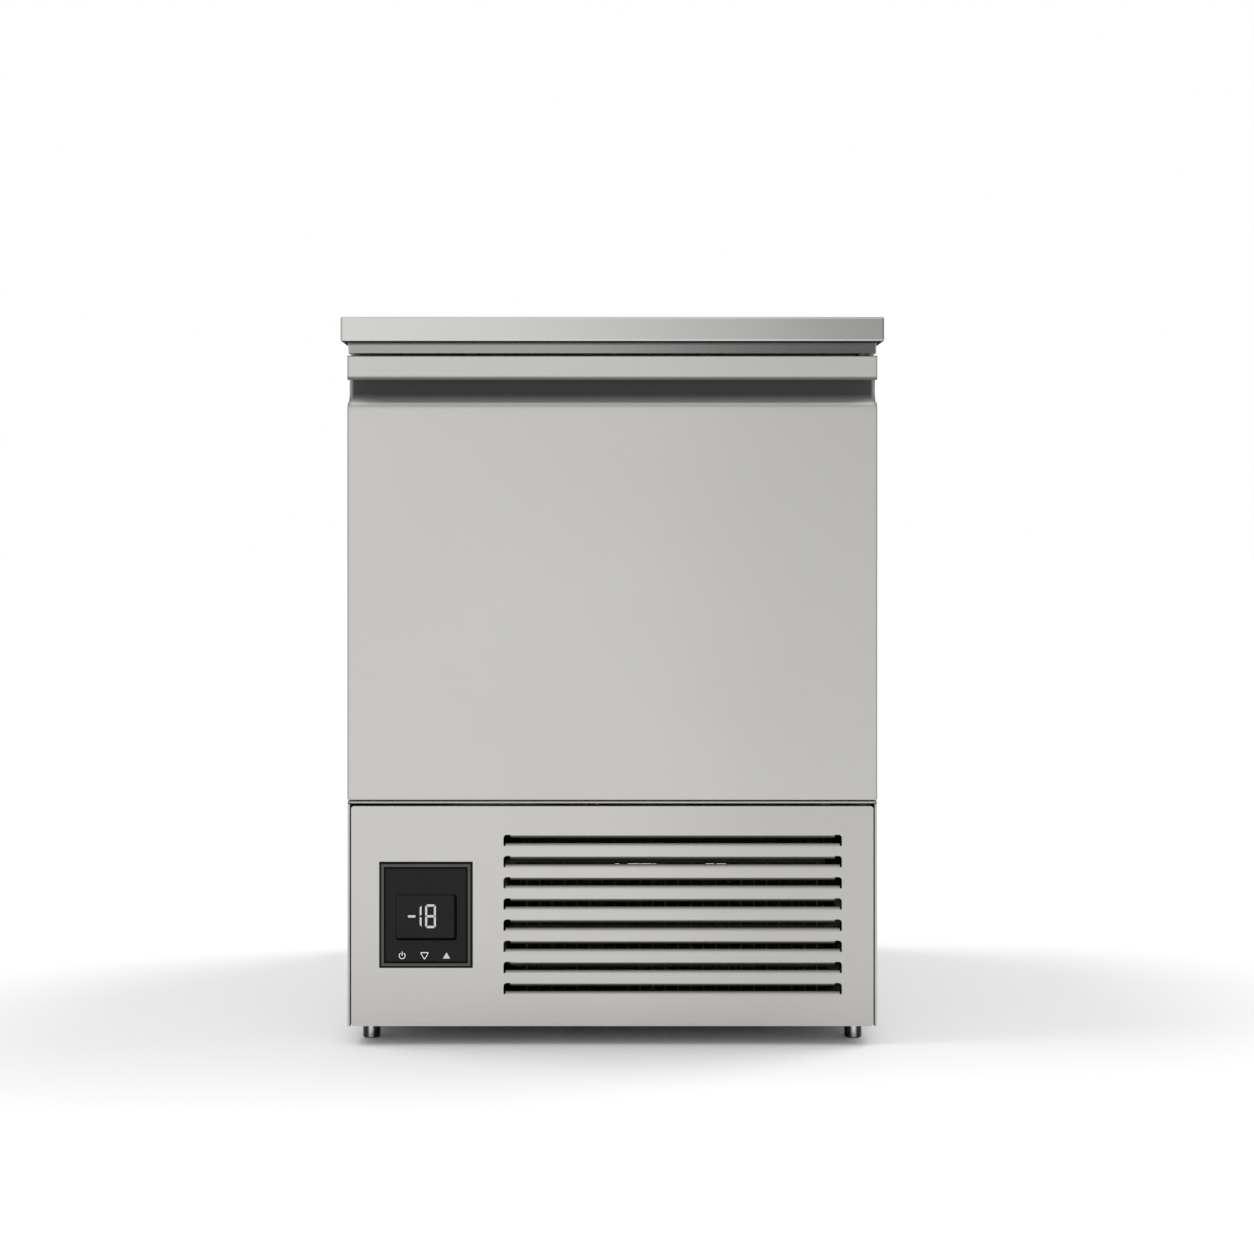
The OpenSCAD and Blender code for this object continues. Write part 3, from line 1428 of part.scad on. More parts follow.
worktop();
worktop_core();
header_rail();
side_panel_left();
side_panel_right();
back_panel();
rear_cover();
bottom_sheet();
cabinet_foam();
inner_liner();
front_frame();
breaker_strip();
sill_plate();
base_tray();
grille_panel();
control_bezel();
control_face();
display_window();
control_board();
shelf_rails_left();
shelf_rails_right();
shelf_lower();
shelf_middle();
shelf_upper();
evaporator_cover();
evaporator_coil();
evaporator_fan_motor();
evaporator_fan();
fan_guard();
drip_tray();
drain_tube();
defrost_heater();
temperature_probe();
compressor();
compressor_mounts();
terminal_box();
condenser_coil();
condenser_shroud();
condenser_fan_motor();
condenser_fan();
filter_drier();
discharge_pipe();
liquid_pipe();
suction_pipe();
condensate_tray();
power_inlet();
hinge_bracket_top();
hinge_bracket_bottom();
door_skin();
door_end_left();
door_end_right();
door_foam();
door_liner();
door_gasket();
hinge_bushes();
foot_front_left();
foot_front_right();
foot_rear_left();
foot_rear_right();
screws();
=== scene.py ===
import math

import bpy
import numpy as np
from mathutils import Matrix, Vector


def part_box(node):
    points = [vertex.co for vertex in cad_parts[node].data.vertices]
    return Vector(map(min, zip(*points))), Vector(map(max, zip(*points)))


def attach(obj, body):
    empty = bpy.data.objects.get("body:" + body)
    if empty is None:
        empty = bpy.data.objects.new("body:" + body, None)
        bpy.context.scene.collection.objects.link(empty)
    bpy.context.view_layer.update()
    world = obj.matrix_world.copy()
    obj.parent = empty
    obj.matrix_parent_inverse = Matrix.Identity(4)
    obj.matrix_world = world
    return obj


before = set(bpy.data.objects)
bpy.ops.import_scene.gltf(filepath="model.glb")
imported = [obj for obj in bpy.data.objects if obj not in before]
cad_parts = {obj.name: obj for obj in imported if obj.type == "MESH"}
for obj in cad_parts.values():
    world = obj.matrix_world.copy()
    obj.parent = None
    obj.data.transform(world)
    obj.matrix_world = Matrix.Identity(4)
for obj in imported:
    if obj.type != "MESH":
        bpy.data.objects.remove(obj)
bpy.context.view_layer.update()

# The studio: a level camera in front of the middle, a white floor that runs on into a
# white room, and two broad soft suns whose shadows fall to both sides.
camera_place = (0.0, -2.916, 0.564)
camera_lens = 66.85
camera_shift = (0.0117, -0.0694)
floor_reach = 60.0
floor_white = 0.95
room_white = 1.0
room_light = 0.68
key_sun = dict(turn=(-4, -35), strength=1.0, spread=34)
back_sun = dict(turn=(-15, 37), strength=1.0, spread=34)
front_light = 1.12
side_light, top_light = 0.45, 0.8
right_fall, left_fall = (-0.2, 0.45), (-0.85, -0.4)
front_fall, back_rise = (-0.75, -0.4), (0.0, 0.35)
ceiling_rise = (0.2, 0.7)
flag_place = (0.15, 0.1)
flag_size = (0.23, 0.08)
flag_depth = 0.55


def add(tree, kind, values=None, **settings):
    """Adds one node to a tree. A value that is a socket is linked, any other is written into its input."""
    node = tree.nodes.new(kind)
    for key, value in settings.items():
        setattr(node, key, value)
    for key, value in (values or {}).items():
        if isinstance(value, bpy.types.NodeSocket):
            tree.links.new(value, node.inputs[key])
        else:
            node.inputs[key].default_value = value
    return node


def maths(tree, operation, *values):
    """One sum of the named kind, of sockets or numbers."""
    return add(tree, "ShaderNodeMath", dict(enumerate(values)), operation=operation).outputs[0]


def ramp(tree, value, start, end, low, high):
    """A smooth rise or fall from low at start to high at end."""
    values = {"Value": value, "From Min": start, "From Max": end, "To Min": low, "To Max": high}
    return add(tree, "ShaderNodeMapRange", values, interpolation_type="SMOOTHSTEP").outputs[0]


def mix(tree, share, first, second):
    """From the first number to the second by share."""
    return add(tree, "ShaderNodeMix", {0: share, 2: first, 3: second}).outputs[0]


camera = bpy.data.objects.new("camera", bpy.data.cameras.new("camera"))
camera.location = camera_place
camera.rotation_euler = (math.pi / 2, 0, 0)
camera.data.lens = camera_lens
camera.data.shift_x, camera.data.shift_y = camera_shift
bpy.context.scene.collection.objects.link(camera)
bpy.context.scene.camera = camera
bpy.context.scene.view_settings.view_transform = "Standard"

for name, sun in (("key", key_sun), ("back", back_sun)):
    lamp = bpy.data.lights.new(name, "SUN")
    lamp.energy = sun["strength"]
    lamp.angle = math.radians(sun["spread"])
    holder = bpy.data.objects.new(name, lamp)
    holder.rotation_euler = (math.radians(sun["turn"][0]), math.radians(sun["turn"][1]), 0)
    holder.visible_glossy = False
    bpy.context.scene.collection.objects.link(holder)

room = bpy.data.worlds.new("room")
bpy.context.scene.world = room
room.use_nodes = True
sky = room.node_tree
sky.nodes.clear()
seen = add(sky, "ShaderNodeLightPath").outputs
way = add(sky, "ShaderNodeTexCoord").outputs["Generated"]
axis = add(sky, "ShaderNodeSeparateXYZ", {0: way}).outputs

# What metal mirrors: a broad light in front that falls off soon to the right and later
# to the left, a dark flag a little above and right of its middle, a paler ceiling, and
# the white room behind.
right = ramp(sky, axis["X"], *right_fall, 1.0, 0.0)
left = ramp(sky, axis["X"], *left_fall, 0.0, 1.0)
ahead = ramp(sky, axis["Y"], *front_fall, 1.0, 0.0)
faced = maths(sky, "MULTIPLY", maths(sky, "MULTIPLY", right, left), ahead)
flag_x = maths(sky, "DIVIDE", maths(sky, "SUBTRACT", axis["X"], flag_place[0]), flag_size[0])
flag_z = maths(sky, "DIVIDE", maths(sky, "SUBTRACT", axis["Z"], flag_place[1]), flag_size[1])
squares = maths(sky, "ADD", maths(sky, "MULTIPLY", flag_x, flag_x), maths(sky, "MULTIPLY", flag_z, flag_z))
flag = ramp(sky, maths(sky, "SQRT", squares), 0.0, 1.0, 1 - flag_depth, 1.0)
around = ramp(sky, axis["Z"], *ceiling_rise, side_light, top_light)
softbox = mix(sky, faced, around, maths(sky, "MULTIPLY", flag, front_light))
behind = ramp(sky, axis["Y"], *back_rise, 0.0, 1.0)
sideways = maths(sky, "ADD", maths(sky, "MULTIPLY", softbox, maths(sky, "SUBTRACT", 1.0, behind)),
                 maths(sky, "MULTIPLY", behind, room_white))
mirrored = maths(sky, "MAXIMUM", seen["Is Glossy Ray"], seen["Is Transmission Ray"])
level = mix(sky, seen["Is Camera Ray"], mix(sky, mirrored, room_light, sideways), room_white)
glow = add(sky, "ShaderNodeBackground", {"Color": (1, 1, 1, 1), "Strength": level})
add(sky, "ShaderNodeOutputWorld", {"Surface": glow.outputs[0]})

floor_mesh = bpy.data.meshes.new("floor")
floor_corners = [(-floor_reach, -floor_reach, 0), (floor_reach, -floor_reach, 0),
                 (floor_reach, floor_reach, 0), (-floor_reach, floor_reach, 0)]
floor_mesh.from_pydata(floor_corners, [], [(0, 1, 2, 3)])
floor = bpy.data.objects.new("floor", floor_mesh)
bpy.context.scene.collection.objects.link(floor)
floor_paint = bpy.data.materials.new("floor")
floor_paint.use_nodes = True
floor_paint.node_tree.nodes.clear()
matt = add(floor_paint.node_tree, "ShaderNodeBsdfDiffuse", {"Color": (floor_white,) * 3 + (1,)})
add(floor_paint.node_tree, "ShaderNodeOutputMaterial", {"Surface": matt.outputs[0]})
floor_mesh.materials.append(floor_paint)

# The worktop: a tray folded from stainless sheet and brushed along its length, with a
# lip turned in all round. A chipboard core fills it, so that it does not drum, and it
# lies on the cabinet's rim.
steel_colour = (0.552, 0.546, 0.53)
top_colour = (0.6, 0.595, 0.58)
top_rough = 0.13
# Painted shade: the near-black coat under the worktop and the dark band at its side edges.
top_under_shade = (0.006, 0.006, 0.006)
top_edge_shade = (0.3012, 0.6)
top_shade_fall, top_shade_right = (0.12, 0.3), 0.87
level_grain = (1.2, 90.0, 90.0)
edge_soft = (-0.0006, 0.0004)
brush_scale, mottle_scale = 26.0, 4.0
streak_rough, mottle_rough = 2.0, -1.5
brush_depth, brush_strength = 0.00001, 0.5
shade_coat_rough = 0.9
dust_colour = (0.3, 0.29, 0.27)
dust_lies = (0.2, 0.8)
chip_light, chip_dark = (0.5, 0.36, 0.2), (0.3, 0.2, 0.1)
chip_size, chip_height, chip_rough = 260.0, 0.0004, 0.8


def effect(name, inputs, outputs):
    """Starts a node group with named inputs (name: default) and outputs (name: kind)."""
    kinds = {float: "NodeSocketFloat", tuple: "NodeSocketVector"}
    group = bpy.data.node_groups.new(name, "ShaderNodeTree")
    for key, value in inputs.items():
        socket = group.interface.new_socket(key, in_out="INPUT", socket_type=kinds[type(value)])
        socket.default_value = value
    for key, kind in outputs.items():
        group.interface.new_socket(key, in_out="OUTPUT", socket_type="NodeSocket" + kind)
    return group, add(group, "NodeGroupInput").outputs


def place_on(tree):
    """The place on the object, as one vector."""
    return add(tree, "ShaderNodeTexCoord").outputs["Object"]


def parts_of(tree, vector):
    """The X, Y and Z of a vector."""
    return add(tree, "ShaderNodeSeparateXYZ", {0: vector}).outputs


def normal_on(tree):
    """The X, Y and Z of the surface's normal."""
    return parts_of(tree, add(tree, "ShaderNodeNewGeometry").outputs["Normal"])


def noise(tree, place, scale, **settings):
    """Cloudy noise of 0 to 1."""
    return add(tree, "ShaderNodeTexNoise", {"Vector": place, "Scale": scale, **settings}).outputs[0]


def rolled_grain_group():
    """Brush lines: fine noise on coordinates times Lines, which is small along the grain and large across it,
    over a broad mottle. Tone is 1 plus the lines by Contrast and the mottle by Blotch, and Height is the fine
    noise. Rough rises with the pale lines and falls with the pale mottle."""
    group, take = effect("rolled grain", {"Lines": level_grain, "Contrast": 0.0, "Blotch": 0.0},
                         {"Tone": "Float", "Height": "Float", "Rough": "Float"})
    place = place_on(group)
    lines = add(group, "ShaderNodeVectorMath", {0: place, 1: take["Lines"]}, operation="MULTIPLY").outputs[0]
    fine = noise(group, lines, brush_scale, Detail=3.0, Roughness=0.7)
    broad = noise(group, place, mottle_scale, Detail=4.0, Roughness=0.55)
    streak = maths(group, "MULTIPLY", maths(group, "SUBTRACT", fine, 0.5), take["Contrast"])
    mottle = maths(group, "MULTIPLY", maths(group, "SUBTRACT", broad, 0.5), take["Blotch"])
    tone = maths(group, "ADD", maths(group, "ADD", streak, mottle), 1.0)
    rough = maths(group, "ADD", maths(group, "MULTIPLY", streak, streak_rough),
                  maths(group, "MULTIPLY", mottle, mottle_rough))
    add(group, "NodeGroupOutput", {"Tone": tone, "Height": fine, "Rough": rough})
    return group


rolled_grain = rolled_grain_group()


def finish(name, colour, rough, metallic=0.0, **sockets):
    """A Principled material with a plain colour and roughness. Other sockets take plain numbers."""
    paint = bpy.data.materials.new(name)
    paint.use_nodes = True
    tree = paint.node_tree
    shader = tree.nodes["Principled BSDF"]
    shader.inputs["Metallic"].default_value = metallic
    shader.inputs["Roughness"].default_value = rough
    for key, value in sockets.items():
        shader.inputs[key.replace("_", " ")].default_value = value
    shader.inputs["Base Color"].default_value = (*colour, 1)
    return paint, tree, shader


def wire(tree, shader, **sockets):
    """Links sockets to the shader's inputs of these names."""
    for key, value in sockets.items():
        tree.links.new(value, shader.inputs[key.replace("_", " ")])


def tinted(tree, colour, tone):
    """A colour times a tone."""
    return add(tree, "ShaderNodeMix", {0: 1.0, 6: colour, 7: tone}, data_type="RGBA",
               blend_type="MULTIPLY").outputs[2]


def blend(tree, share, first, second):
    """From the first colour to the second by share."""
    return add(tree, "ShaderNodeMix", {0: share, 6: first, 7: second}, data_type="RGBA").outputs[2]


def raised(tree, height, distance, strength=1.0):
    """A normal bent by a height over this distance in metres."""
    values = {"Height": height, "Distance": distance, "Strength": strength}
    return add(tree, "ShaderNodeBump", values).outputs[0]


def steel_sheet(name, colour, rough, lines, contrast=0.03, blotch=0.03, under=0.8, roll=(-0.85, -0.3),
                shade_coat=(0.05, 0.05, 0.05), dust=0.0, edge=None, shade=None):
    """Brushed sheet: its colour times the grain's tone, its roughness moved by the same lines. What faces
    down gets painted shade: the share under of the shade coat, which starts and ends where the
    normal's upward part is as roll says. What faces up has the share dust of grey dust, partly painted
    light that brightens ledges in gaps.
    edge gives how far from the middle the side edges' band of painted shade starts and what it keeps of
    the colour.
    shade(tree, place, facing) gives a colour factor, one more share of the shade coat, and a factor on that
    coat or None."""
    paint, tree, shader = finish(name, colour, rough, 1.0, Specular_IOR_Level=0.05)
    grain = add(tree, "ShaderNodeGroup", {"Lines": lines, "Contrast": contrast, "Blotch": blotch},
                node_tree=rolled_grain)
    facing = normal_on(tree)
    place = parts_of(tree, place_on(tree))
    # Painted shade: what faces down takes the shade coat by the share under.
    share = ramp(tree, facing["Z"], *roll, under, 0.0)
    tone, coat = grain.outputs["Tone"], (*shade_coat, 1)
    if edge:
        start, kept = edge
        from_middle = maths(tree, "ABSOLUTE", place["X"])
        # Painted shade: a dark band down the side edges, where the sheet folds away.
        edge_shade = ramp(tree, from_middle, start + edge_soft[0], start + edge_soft[1], 1.0, kept)
        tone = maths(tree, "MULTIPLY", tone, edge_shade)
    if shade:
        factor, more, paler = shade(tree, place, facing)
        tone = maths(tree, "MULTIPLY", tone, factor)
        share = maths(tree, "MAXIMUM", share, more)
        if paler:
            coat = tinted(tree, coat, paler)
    base = blend(tree, share, tinted(tree, (*colour, 1), tone), coat)
    if dust:
        # Grey dust on what faces up, partly painted light that brightens ledges in gaps.
        lying = ramp(tree, facing["Z"], *dust_lies, 0.0, dust)
        base = blend(tree, lying, base, (*dust_colour, 1))
        share = maths(tree, "MAXIMUM", share, lying)
    lined = maths(tree, "ADD", grain.outputs["Rough"], rough)
    wire(tree, shader, Base_Color=base, Metallic=maths(tree, "SUBTRACT", 1.0, share),
         Roughness=mix(tree, share, lined, shade_coat_rough),
         Normal=raised(tree, grain.outputs["Height"], brush_depth, brush_strength))
    return paint


def dress(paint, *names):
    """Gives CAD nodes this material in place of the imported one."""
    for name in names:
        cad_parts[name].data.materials.clear()
        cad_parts[name].data.materials.append(paint)


def painted_right_shade(tree, place, facing):
    """Painted shade: the worktop is a little darker towards the right end."""
    return ramp(tree, place["X"], *top_shade_fall, 1.0, top_shade_right), 0.0, None


dress(steel_sheet("worktop_steel", top_colour, top_rough, level_grain, under=1.0, shade_coat=top_under_shade,
                  edge=top_edge_shade, shade=painted_right_shade), "worktop")


def chipboard(name, light, dark, size):
    """Pressed chips: cells of random tone between light and dark."""
    paint, tree, shader = finish(name, light, chip_rough)
    chips = add(tree, "ShaderNodeTexVoronoi", {"Vector": place_on(tree), "Scale": size})
    pick = add(tree, "ShaderNodeSeparateColor", {0: chips.outputs["Color"]}).outputs[0]
    wire(tree, shader, Base_Color=blend(tree, pick, (*dark, 1), (*light, 1)),
         Normal=raised(tree, pick, chip_height))
    return paint


dress(chipboard("core_chips", chip_light, chip_dark, chip_size), "worktop_core")

# The header rail closes the cabinet above the door. It is the same sheet, folded, set
# back in the shadow of the worktop; its darker colour is painted shade of that overhang.
header_shaded_colour = (0.34, 0.34, 0.335)
header_rough = 0.16
header_shade_coat = (0.12, 0.12, 0.12)
header_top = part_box("header_rail")[1].z
joint_low, joint_high, joint_shadow_and_grime = 0.0028, 0.0005, 0.8
glint_low, glint_high, glint_pale, glint_dark = 0.006, 0.003, 4.5, 1.5
header_fall, header_right = (-0.1, 0.28), 0.46


def header_shade(tree, place, facing):
    """Painted shade: the rail darkens towards the right, and a painted shadow, with grime, fills the joint
    under the worktop. Further down the rail and under it, the shade coat gets painted light, paler than in
    the joint."""
    joint = ramp(tree, place["Z"], header_top - joint_low, header_top - joint_high, 0.0, joint_shadow_and_grime)
    paler = ramp(tree, place["Z"], header_top - glint_low, header_top - glint_high, glint_pale, glint_dark)
    return ramp(tree, place["X"], *header_fall, 1.0, header_right), joint, paler


dress(steel_sheet("header_steel", header_shaded_colour, header_rough, level_grain, under=1.0, shade_coat=header_shade_coat,
                  shade=header_shade), "header_rail")

# The outer case: folded side panels of brushed stainless sheet, grained upright, and a
# back, a bottom, a screwed rear cover and a tray under the machine of galvanised sheet.
# Foam fills the room between this case and the inner liner.
side_grain = (90.0, 90.0, 1.2)
side_rough = 0.36
side_shade_coat = (0.012, 0.012, 0.012)
inner_shade_from, inner_shade_to = -0.8, -0.4
mouth_front, mouth_deep, mouth_pale = -0.31, -0.27, 12.0
zinc_colour, zinc_rough, zinc_metal = (0.46, 0.47, 0.48), 0.5, 0.9
flake_size = 190.0
bloom_size = flake_size / 8
flake_tone, flake_rough = (0.86, 1.1), (0.42, 0.56)
painted_tray_shade = (0.015, 0.015, 0.015)
shade_lies = (0.5, 0.9)
tray_shade = 0.95
foam_light, foam_dark = (0.74, 0.64, 0.38), (0.55, 0.45, 0.22)
foam_cell, foam_height, foam_rough = 420.0, 0.0006, 0.9


def painted_inner_shade(tree, place, facing):
    """Painted shade on the side panels' inner faces: where the normal points back to the middle, and less so
    near the front, where light still falls in."""
    inward = maths(tree, "MULTIPLY", maths(tree, "SIGN", place["X"]), facing["X"])
    paler = ramp(tree, place["Y"], mouth_front, mouth_deep, mouth_pale, 1.0)
    return 1.0, ramp(tree, inward, inner_shade_from, inner_shade_to, 1.0, 0.0), paler


dress(steel_sheet("side_steel", steel_colour, side_rough, side_grain, shade_coat=side_shade_coat, shade=painted_inner_shade),
      "side_panel_left", "side_panel_right")


def spread(tree, value, low, high, **ends):
    """A value of 0 to 1, or of the ends named, spread evenly over low to high."""
    values = {"Value": value, "To Min": low, "To Max": high}
    values.update((key.replace("_", " "), end) for key, end in ends.items())
    return add(tree, "ShaderNodeMapRange", values).outputs[0]


def zinc_sheet(name, up_shade=0.0):
    """Galvanised sheet: flat flakes, each a random shade of the colour and a little smoother or rougher,
    under a broad bloom of noise. What faces up has the share up_shade of near-black painted shade."""
    paint, tree, shader = finish(name, zinc_colour, zinc_rough, zinc_metal)
    place = place_on(tree)
    flakes = add(tree, "ShaderNodeTexVoronoi", {"Vector": place, "Scale": flake_size, "Randomness": 1.0})
    pick = add(tree, "ShaderNodeSeparateColor", {0: flakes.outputs["Color"]}).outputs[0]
    bloom = noise(tree, place, bloom_size, Detail=5.0)
    tone = spread(tree, maths(tree, "ADD", pick, bloom), *flake_tone, From_Max=2.0)
    lying = ramp(tree, normal_on(tree)["Z"], *shade_lies, 0.0, up_shade)
    wire(tree, shader, Base_Color=blend(tree, lying, tinted(tree, (*zinc_colour, 1), tone), (*painted_tray_shade, 1)),
         Metallic=mix(tree, lying, zinc_metal, 0.0),
         Roughness=mix(tree, lying, spread(tree, pick, *flake_rough), 1.0))
    return paint


dress(zinc_sheet("zinc_sheet"), "back_panel", "bottom_sheet", "rear_cover")
# Painted shade on the top of the base tray, inside the machine room.
dress(zinc_sheet("tray_zinc", up_shade=tray_shade), "base_tray")


def foam(name, light, dark):
    """Polyurethane foam: fine cells between two shades of yellow."""
    paint, tree, shader = finish(name, light, foam_rough)
    cells = noise(tree, place_on(tree), foam_cell, Detail=5.0)
    wire(tree, shader, Base_Color=blend(tree, cells, (*dark, 1), (*light, 1)),
         Normal=raised(tree, cells, foam_height))
    return paint


dress(foam("case_foam", foam_light, foam_dark), "cabinet_foam", "door_foam")

# The inner cabinet: a liner box of bright stainless sheet with a frame round its mouth,
# a plastic strip that keeps the cold off the frame, punched rails for the shelves and
# the cover of the cold side. Most small plastic parts share the strip's black.
liner_colour = (0.6, 0.6, 0.585)
liner_rough = 0.33
liner_grain = (90.0, 90.0, 1.6)
plastic_colour = (0.03, 0.03, 0.032)
settled = 0.3
wander_size, wander_rough = 9.0, 0.06
pebble_strength = 0.6
dress(steel_sheet("liner_steel", liner_colour, liner_rough, liner_grain, under=0.0), "inner_liner",
      "front_frame", "shelf_rails_left", "shelf_rails_right", "evaporator_cover")


def moulded(name, colour, rough, grain=900.0, depth=0.03, dust=0.0, mottle=0.14, **sockets):
    """Moulded or painted skin: a fine pebble of this depth in millimetres, a tone that wanders by mottle, and
    grey dust on what faces up."""
    paint, tree, shader = finish(name, colour, rough, **sockets)
    place = place_on(tree)
    pebble = noise(tree, place, grain, Detail=2.0)
    broad = noise(tree, place, wander_size, Detail=4.0)
    base = tinted(tree, (*colour, 1), spread(tree, broad, 1 - mottle, 1 + mottle))
    if dust:
        cover = spread(tree, normal_on(tree)["Z"], 0.0, dust, From_Min=settled, From_Max=1.0)
        base = blend(tree, maths(tree, "MULTIPLY", cover, broad), base, (*dust_colour, 1))
    wire(tree, shader, Base_Color=base,
         Roughness=spread(tree, broad, rough - wander_rough, rough + wander_rough),
         Normal=raised(tree, pebble, depth / 1000, pebble_strength))
    return paint


dress(moulded("dark_plastic", plastic_colour, 0.5), "breaker_strip", "evaporator_fan_motor", "evaporator_fan",
      "drain_tube", "temperature_probe", "terminal_box", "condensate_tray", "power_inlet")

# The lower front: one brushed steel panel with eight louvre slots pressed through it
# and its edges folded back. The sill plate above it, under the door, has its front edge
# folded flat.
front_rough, front_blotch = 0.35, 0.05
# Painted shade on the louvre lips and folds that face down; the grey dust on the ledges is partly painted
# light.
front_under_shade = dict(under=0.9, roll=(-0.7, -0.05))
panel_dust_and_light, sill_dust_and_light = 0.6, 1.0
panel_fall, panel_right = (-0.05, 0.2), 0.89


def panel_shade(tree, place, facing):
    """Painted shade: the panel is a little darker from the middle to the right."""
    return ramp(tree, place["X"], *panel_fall, 1.0, panel_right), 0.0, None


dress(steel_sheet("panel_steel", steel_colour, front_rough, level_grain, blotch=front_blotch,
                  dust=panel_dust_and_light, shade=panel_shade, **front_under_shade), "grille_panel")
dress(steel_sheet("sill_steel", steel_colour, front_rough, level_grain, blotch=front_blotch,
                  dust=sill_dust_and_light, **front_under_shade), "sill_plate")

# The controller: a gloss black bezel clipped into the panel, with a smoked face, a lens
# over the display and a circuit board behind. Digits and button marks are printed light.
rim_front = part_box("control_bezel")[0].y
face_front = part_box("control_face")[0].y
window_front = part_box("display_window")[0].y
# Painted light and shade: the bezel's front ridge is painted pale as a highlight, and all behind each front
# plane is painted darker, black in the gaps.
bezel_ridge_light, bezel_behind_shade = (0.1, 0.1, 0.099), (0.012, 0.012, 0.012)
face_colour = (0.0178, 0.0178, 0.0172)
lens_colour = (0.018, 0.018, 0.0178)
unlit = (0.0, 0.0, 0.0)
front_from, front_to = 0.0001, 0.0004
gloss_glint = 0.08
smear_size, smear_tone, smear_rough = 60.0, (0.88, 1.12), 0.05
board_colour, track_colour = (0.02, 0.12, 0.05), (0.08, 0.26, 0.1)
track_size, track_edge, board_rough = 160.0, (0.42, 0.46), 0.35


def black_gloss(name, colour, front, deep_colour, rough):
    """Gloss black plastic: its colour on the front plane, and painted shade, darker and duller, on all behind
    it.
    """
    paint, tree, shader = finish(name, colour, rough, Specular_IOR_Level=gloss_glint)
    place = place_on(tree)
    cloud = noise(tree, place, smear_size, Detail=3.0)
    share = ramp(tree, parts_of(tree, place)["Y"], front + front_from, front + front_to, 0.0, 1.0)
    base = blend(tree, share, (*colour, 1), (*deep_colour, 1))
    smooth = spread(tree, cloud, rough - smear_rough, rough + smear_rough)
    wire(tree, shader, Base_Color=tinted(tree, base, spread(tree, cloud, *smear_tone)),
         Roughness=mix(tree, share, smooth, 1.0))
    return paint


dress(black_gloss("bezel_black", bezel_ridge_light, rim_front, bezel_behind_shade, 0.4), "control_bezel")
dress(black_gloss("face_black", face_colour, face_front, unlit, 0.3), "control_face")
dress(black_gloss("lens_black", lens_colour, window_front, unlit, 0.25), "display_window")


def circuit_board(name):
    """Green lacquer with lighter copper tracks: the edges of square cells."""
    paint, tree, shader = finish(name, board_colour, board_rough)
    cells = add(tree, "ShaderNodeTexVoronoi", {"Vector": place_on(tree), "Scale": track_size},
                distance="CHEBYCHEV").outputs[0]
    track = spread(tree, cells, 0.0, 1.0, From_Min=track_edge[0], From_Max=track_edge[1])
    wire(tree, shader, Base_Color=blend(tree, track, (*board_colour, 1), (*track_colour, 1)))
    return paint


dress(circuit_board("circuit_board"), "control_board")

print_rise = 0.00006


def printed(name, outlines, front, paint):
    """Flat prints as closed plates: each outline in x and z, anticlockwise from the front, at two depths."""
    points, faces = [], []
    for line in outlines:
        count, start = len(line), sum(map(len, points))
        ring = np.arange(count)
        after = np.roll(ring, -1)
        points.append(np.column_stack((line[:, 0], np.full(count, front - print_rise), line[:, 1])))
        points.append(np.column_stack((line[:, 0], np.full(count, front + print_rise), line[:, 1])))
        faces += [(start + ring).tolist(), (start + count + ring[::-1]).tolist()]
        faces += np.column_stack((start + ring, start + count + ring, start + count + after,
                                  start + after)).tolist()
    mesh = bpy.data.meshes.new(name)
    mesh.from_pydata(np.concatenate(points).tolist(), [], faces)
    mesh.materials.append(paint)
    piece = bpy.data.objects.new(name, mesh)
    bpy.context.scene.collection.objects.link(piece)
    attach(piece, "cabinet")


# A painted shadow round the display: a matt black frame on the lens with round corners.
# It is thin at the left and top, and wider at the right and below, as a cast shadow is.
lens_low, lens_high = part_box("display_window")
window_shadow_colour, window_shadow_rough, window_shadow_glint = (0.003, 0.003, 0.003), 0.9, 0.02
window_shadow_radius, window_shadow_wide, window_shadow_thin, window_shadow_inset = 0.0019, 0.0017, 0.0004, 0.0001
corner_points = 7


def rounded(low_x, low_z, high_x, high_z, radius):
    """A box with round corners, anticlockwise from the front: each corner's middle plus radius times the
    cosine and sine of even turns."""
    quarters = np.array([-math.pi / 2, 0, math.pi / 2, math.pi])[:, None]
    turn = np.linspace(0, math.pi / 2, corner_points)[None, :] + quarters
    x = np.array([high_x - radius, high_x - radius, low_x + radius, low_x + radius])[:, None]
    z = np.array([low_z + radius, high_z - radius, high_z - radius, low_z + radius])[:, None]
    return np.stack((x + radius * np.cos(turn), z + radius * np.sin(turn)), axis=2).reshape(-1, 2)


def band(outer, inner):
    """The strip between two rings of as many points, as one four-sided outline for each step."""
    return np.stack((outer, np.roll(outer, -1, axis=0), np.roll(inner, -1, axis=0), inner), axis=1)


window_shadow_outer = rounded(lens_low.x + window_shadow_inset, lens_low.z + window_shadow_inset, lens_high.x - window_shadow_inset,
                     lens_high.z - window_shadow_inset, window_shadow_radius)
window_shadow_inner = rounded(lens_low.x + window_shadow_thin, lens_low.z + window_shadow_wide, lens_high.x - window_shadow_wide,
                     lens_high.z - window_shadow_thin, window_shadow_radius)
painted_window_shadow = moulded("painted_window_shadow", window_shadow_colour, window_shadow_rough, grain=600.0, depth=0.02,
                     Specular_IOR_Level=window_shadow_glint)
printed("painted_window_shadow_frame", band(window_shadow_outer, window_shadow_inner), window_front, painted_window_shadow)


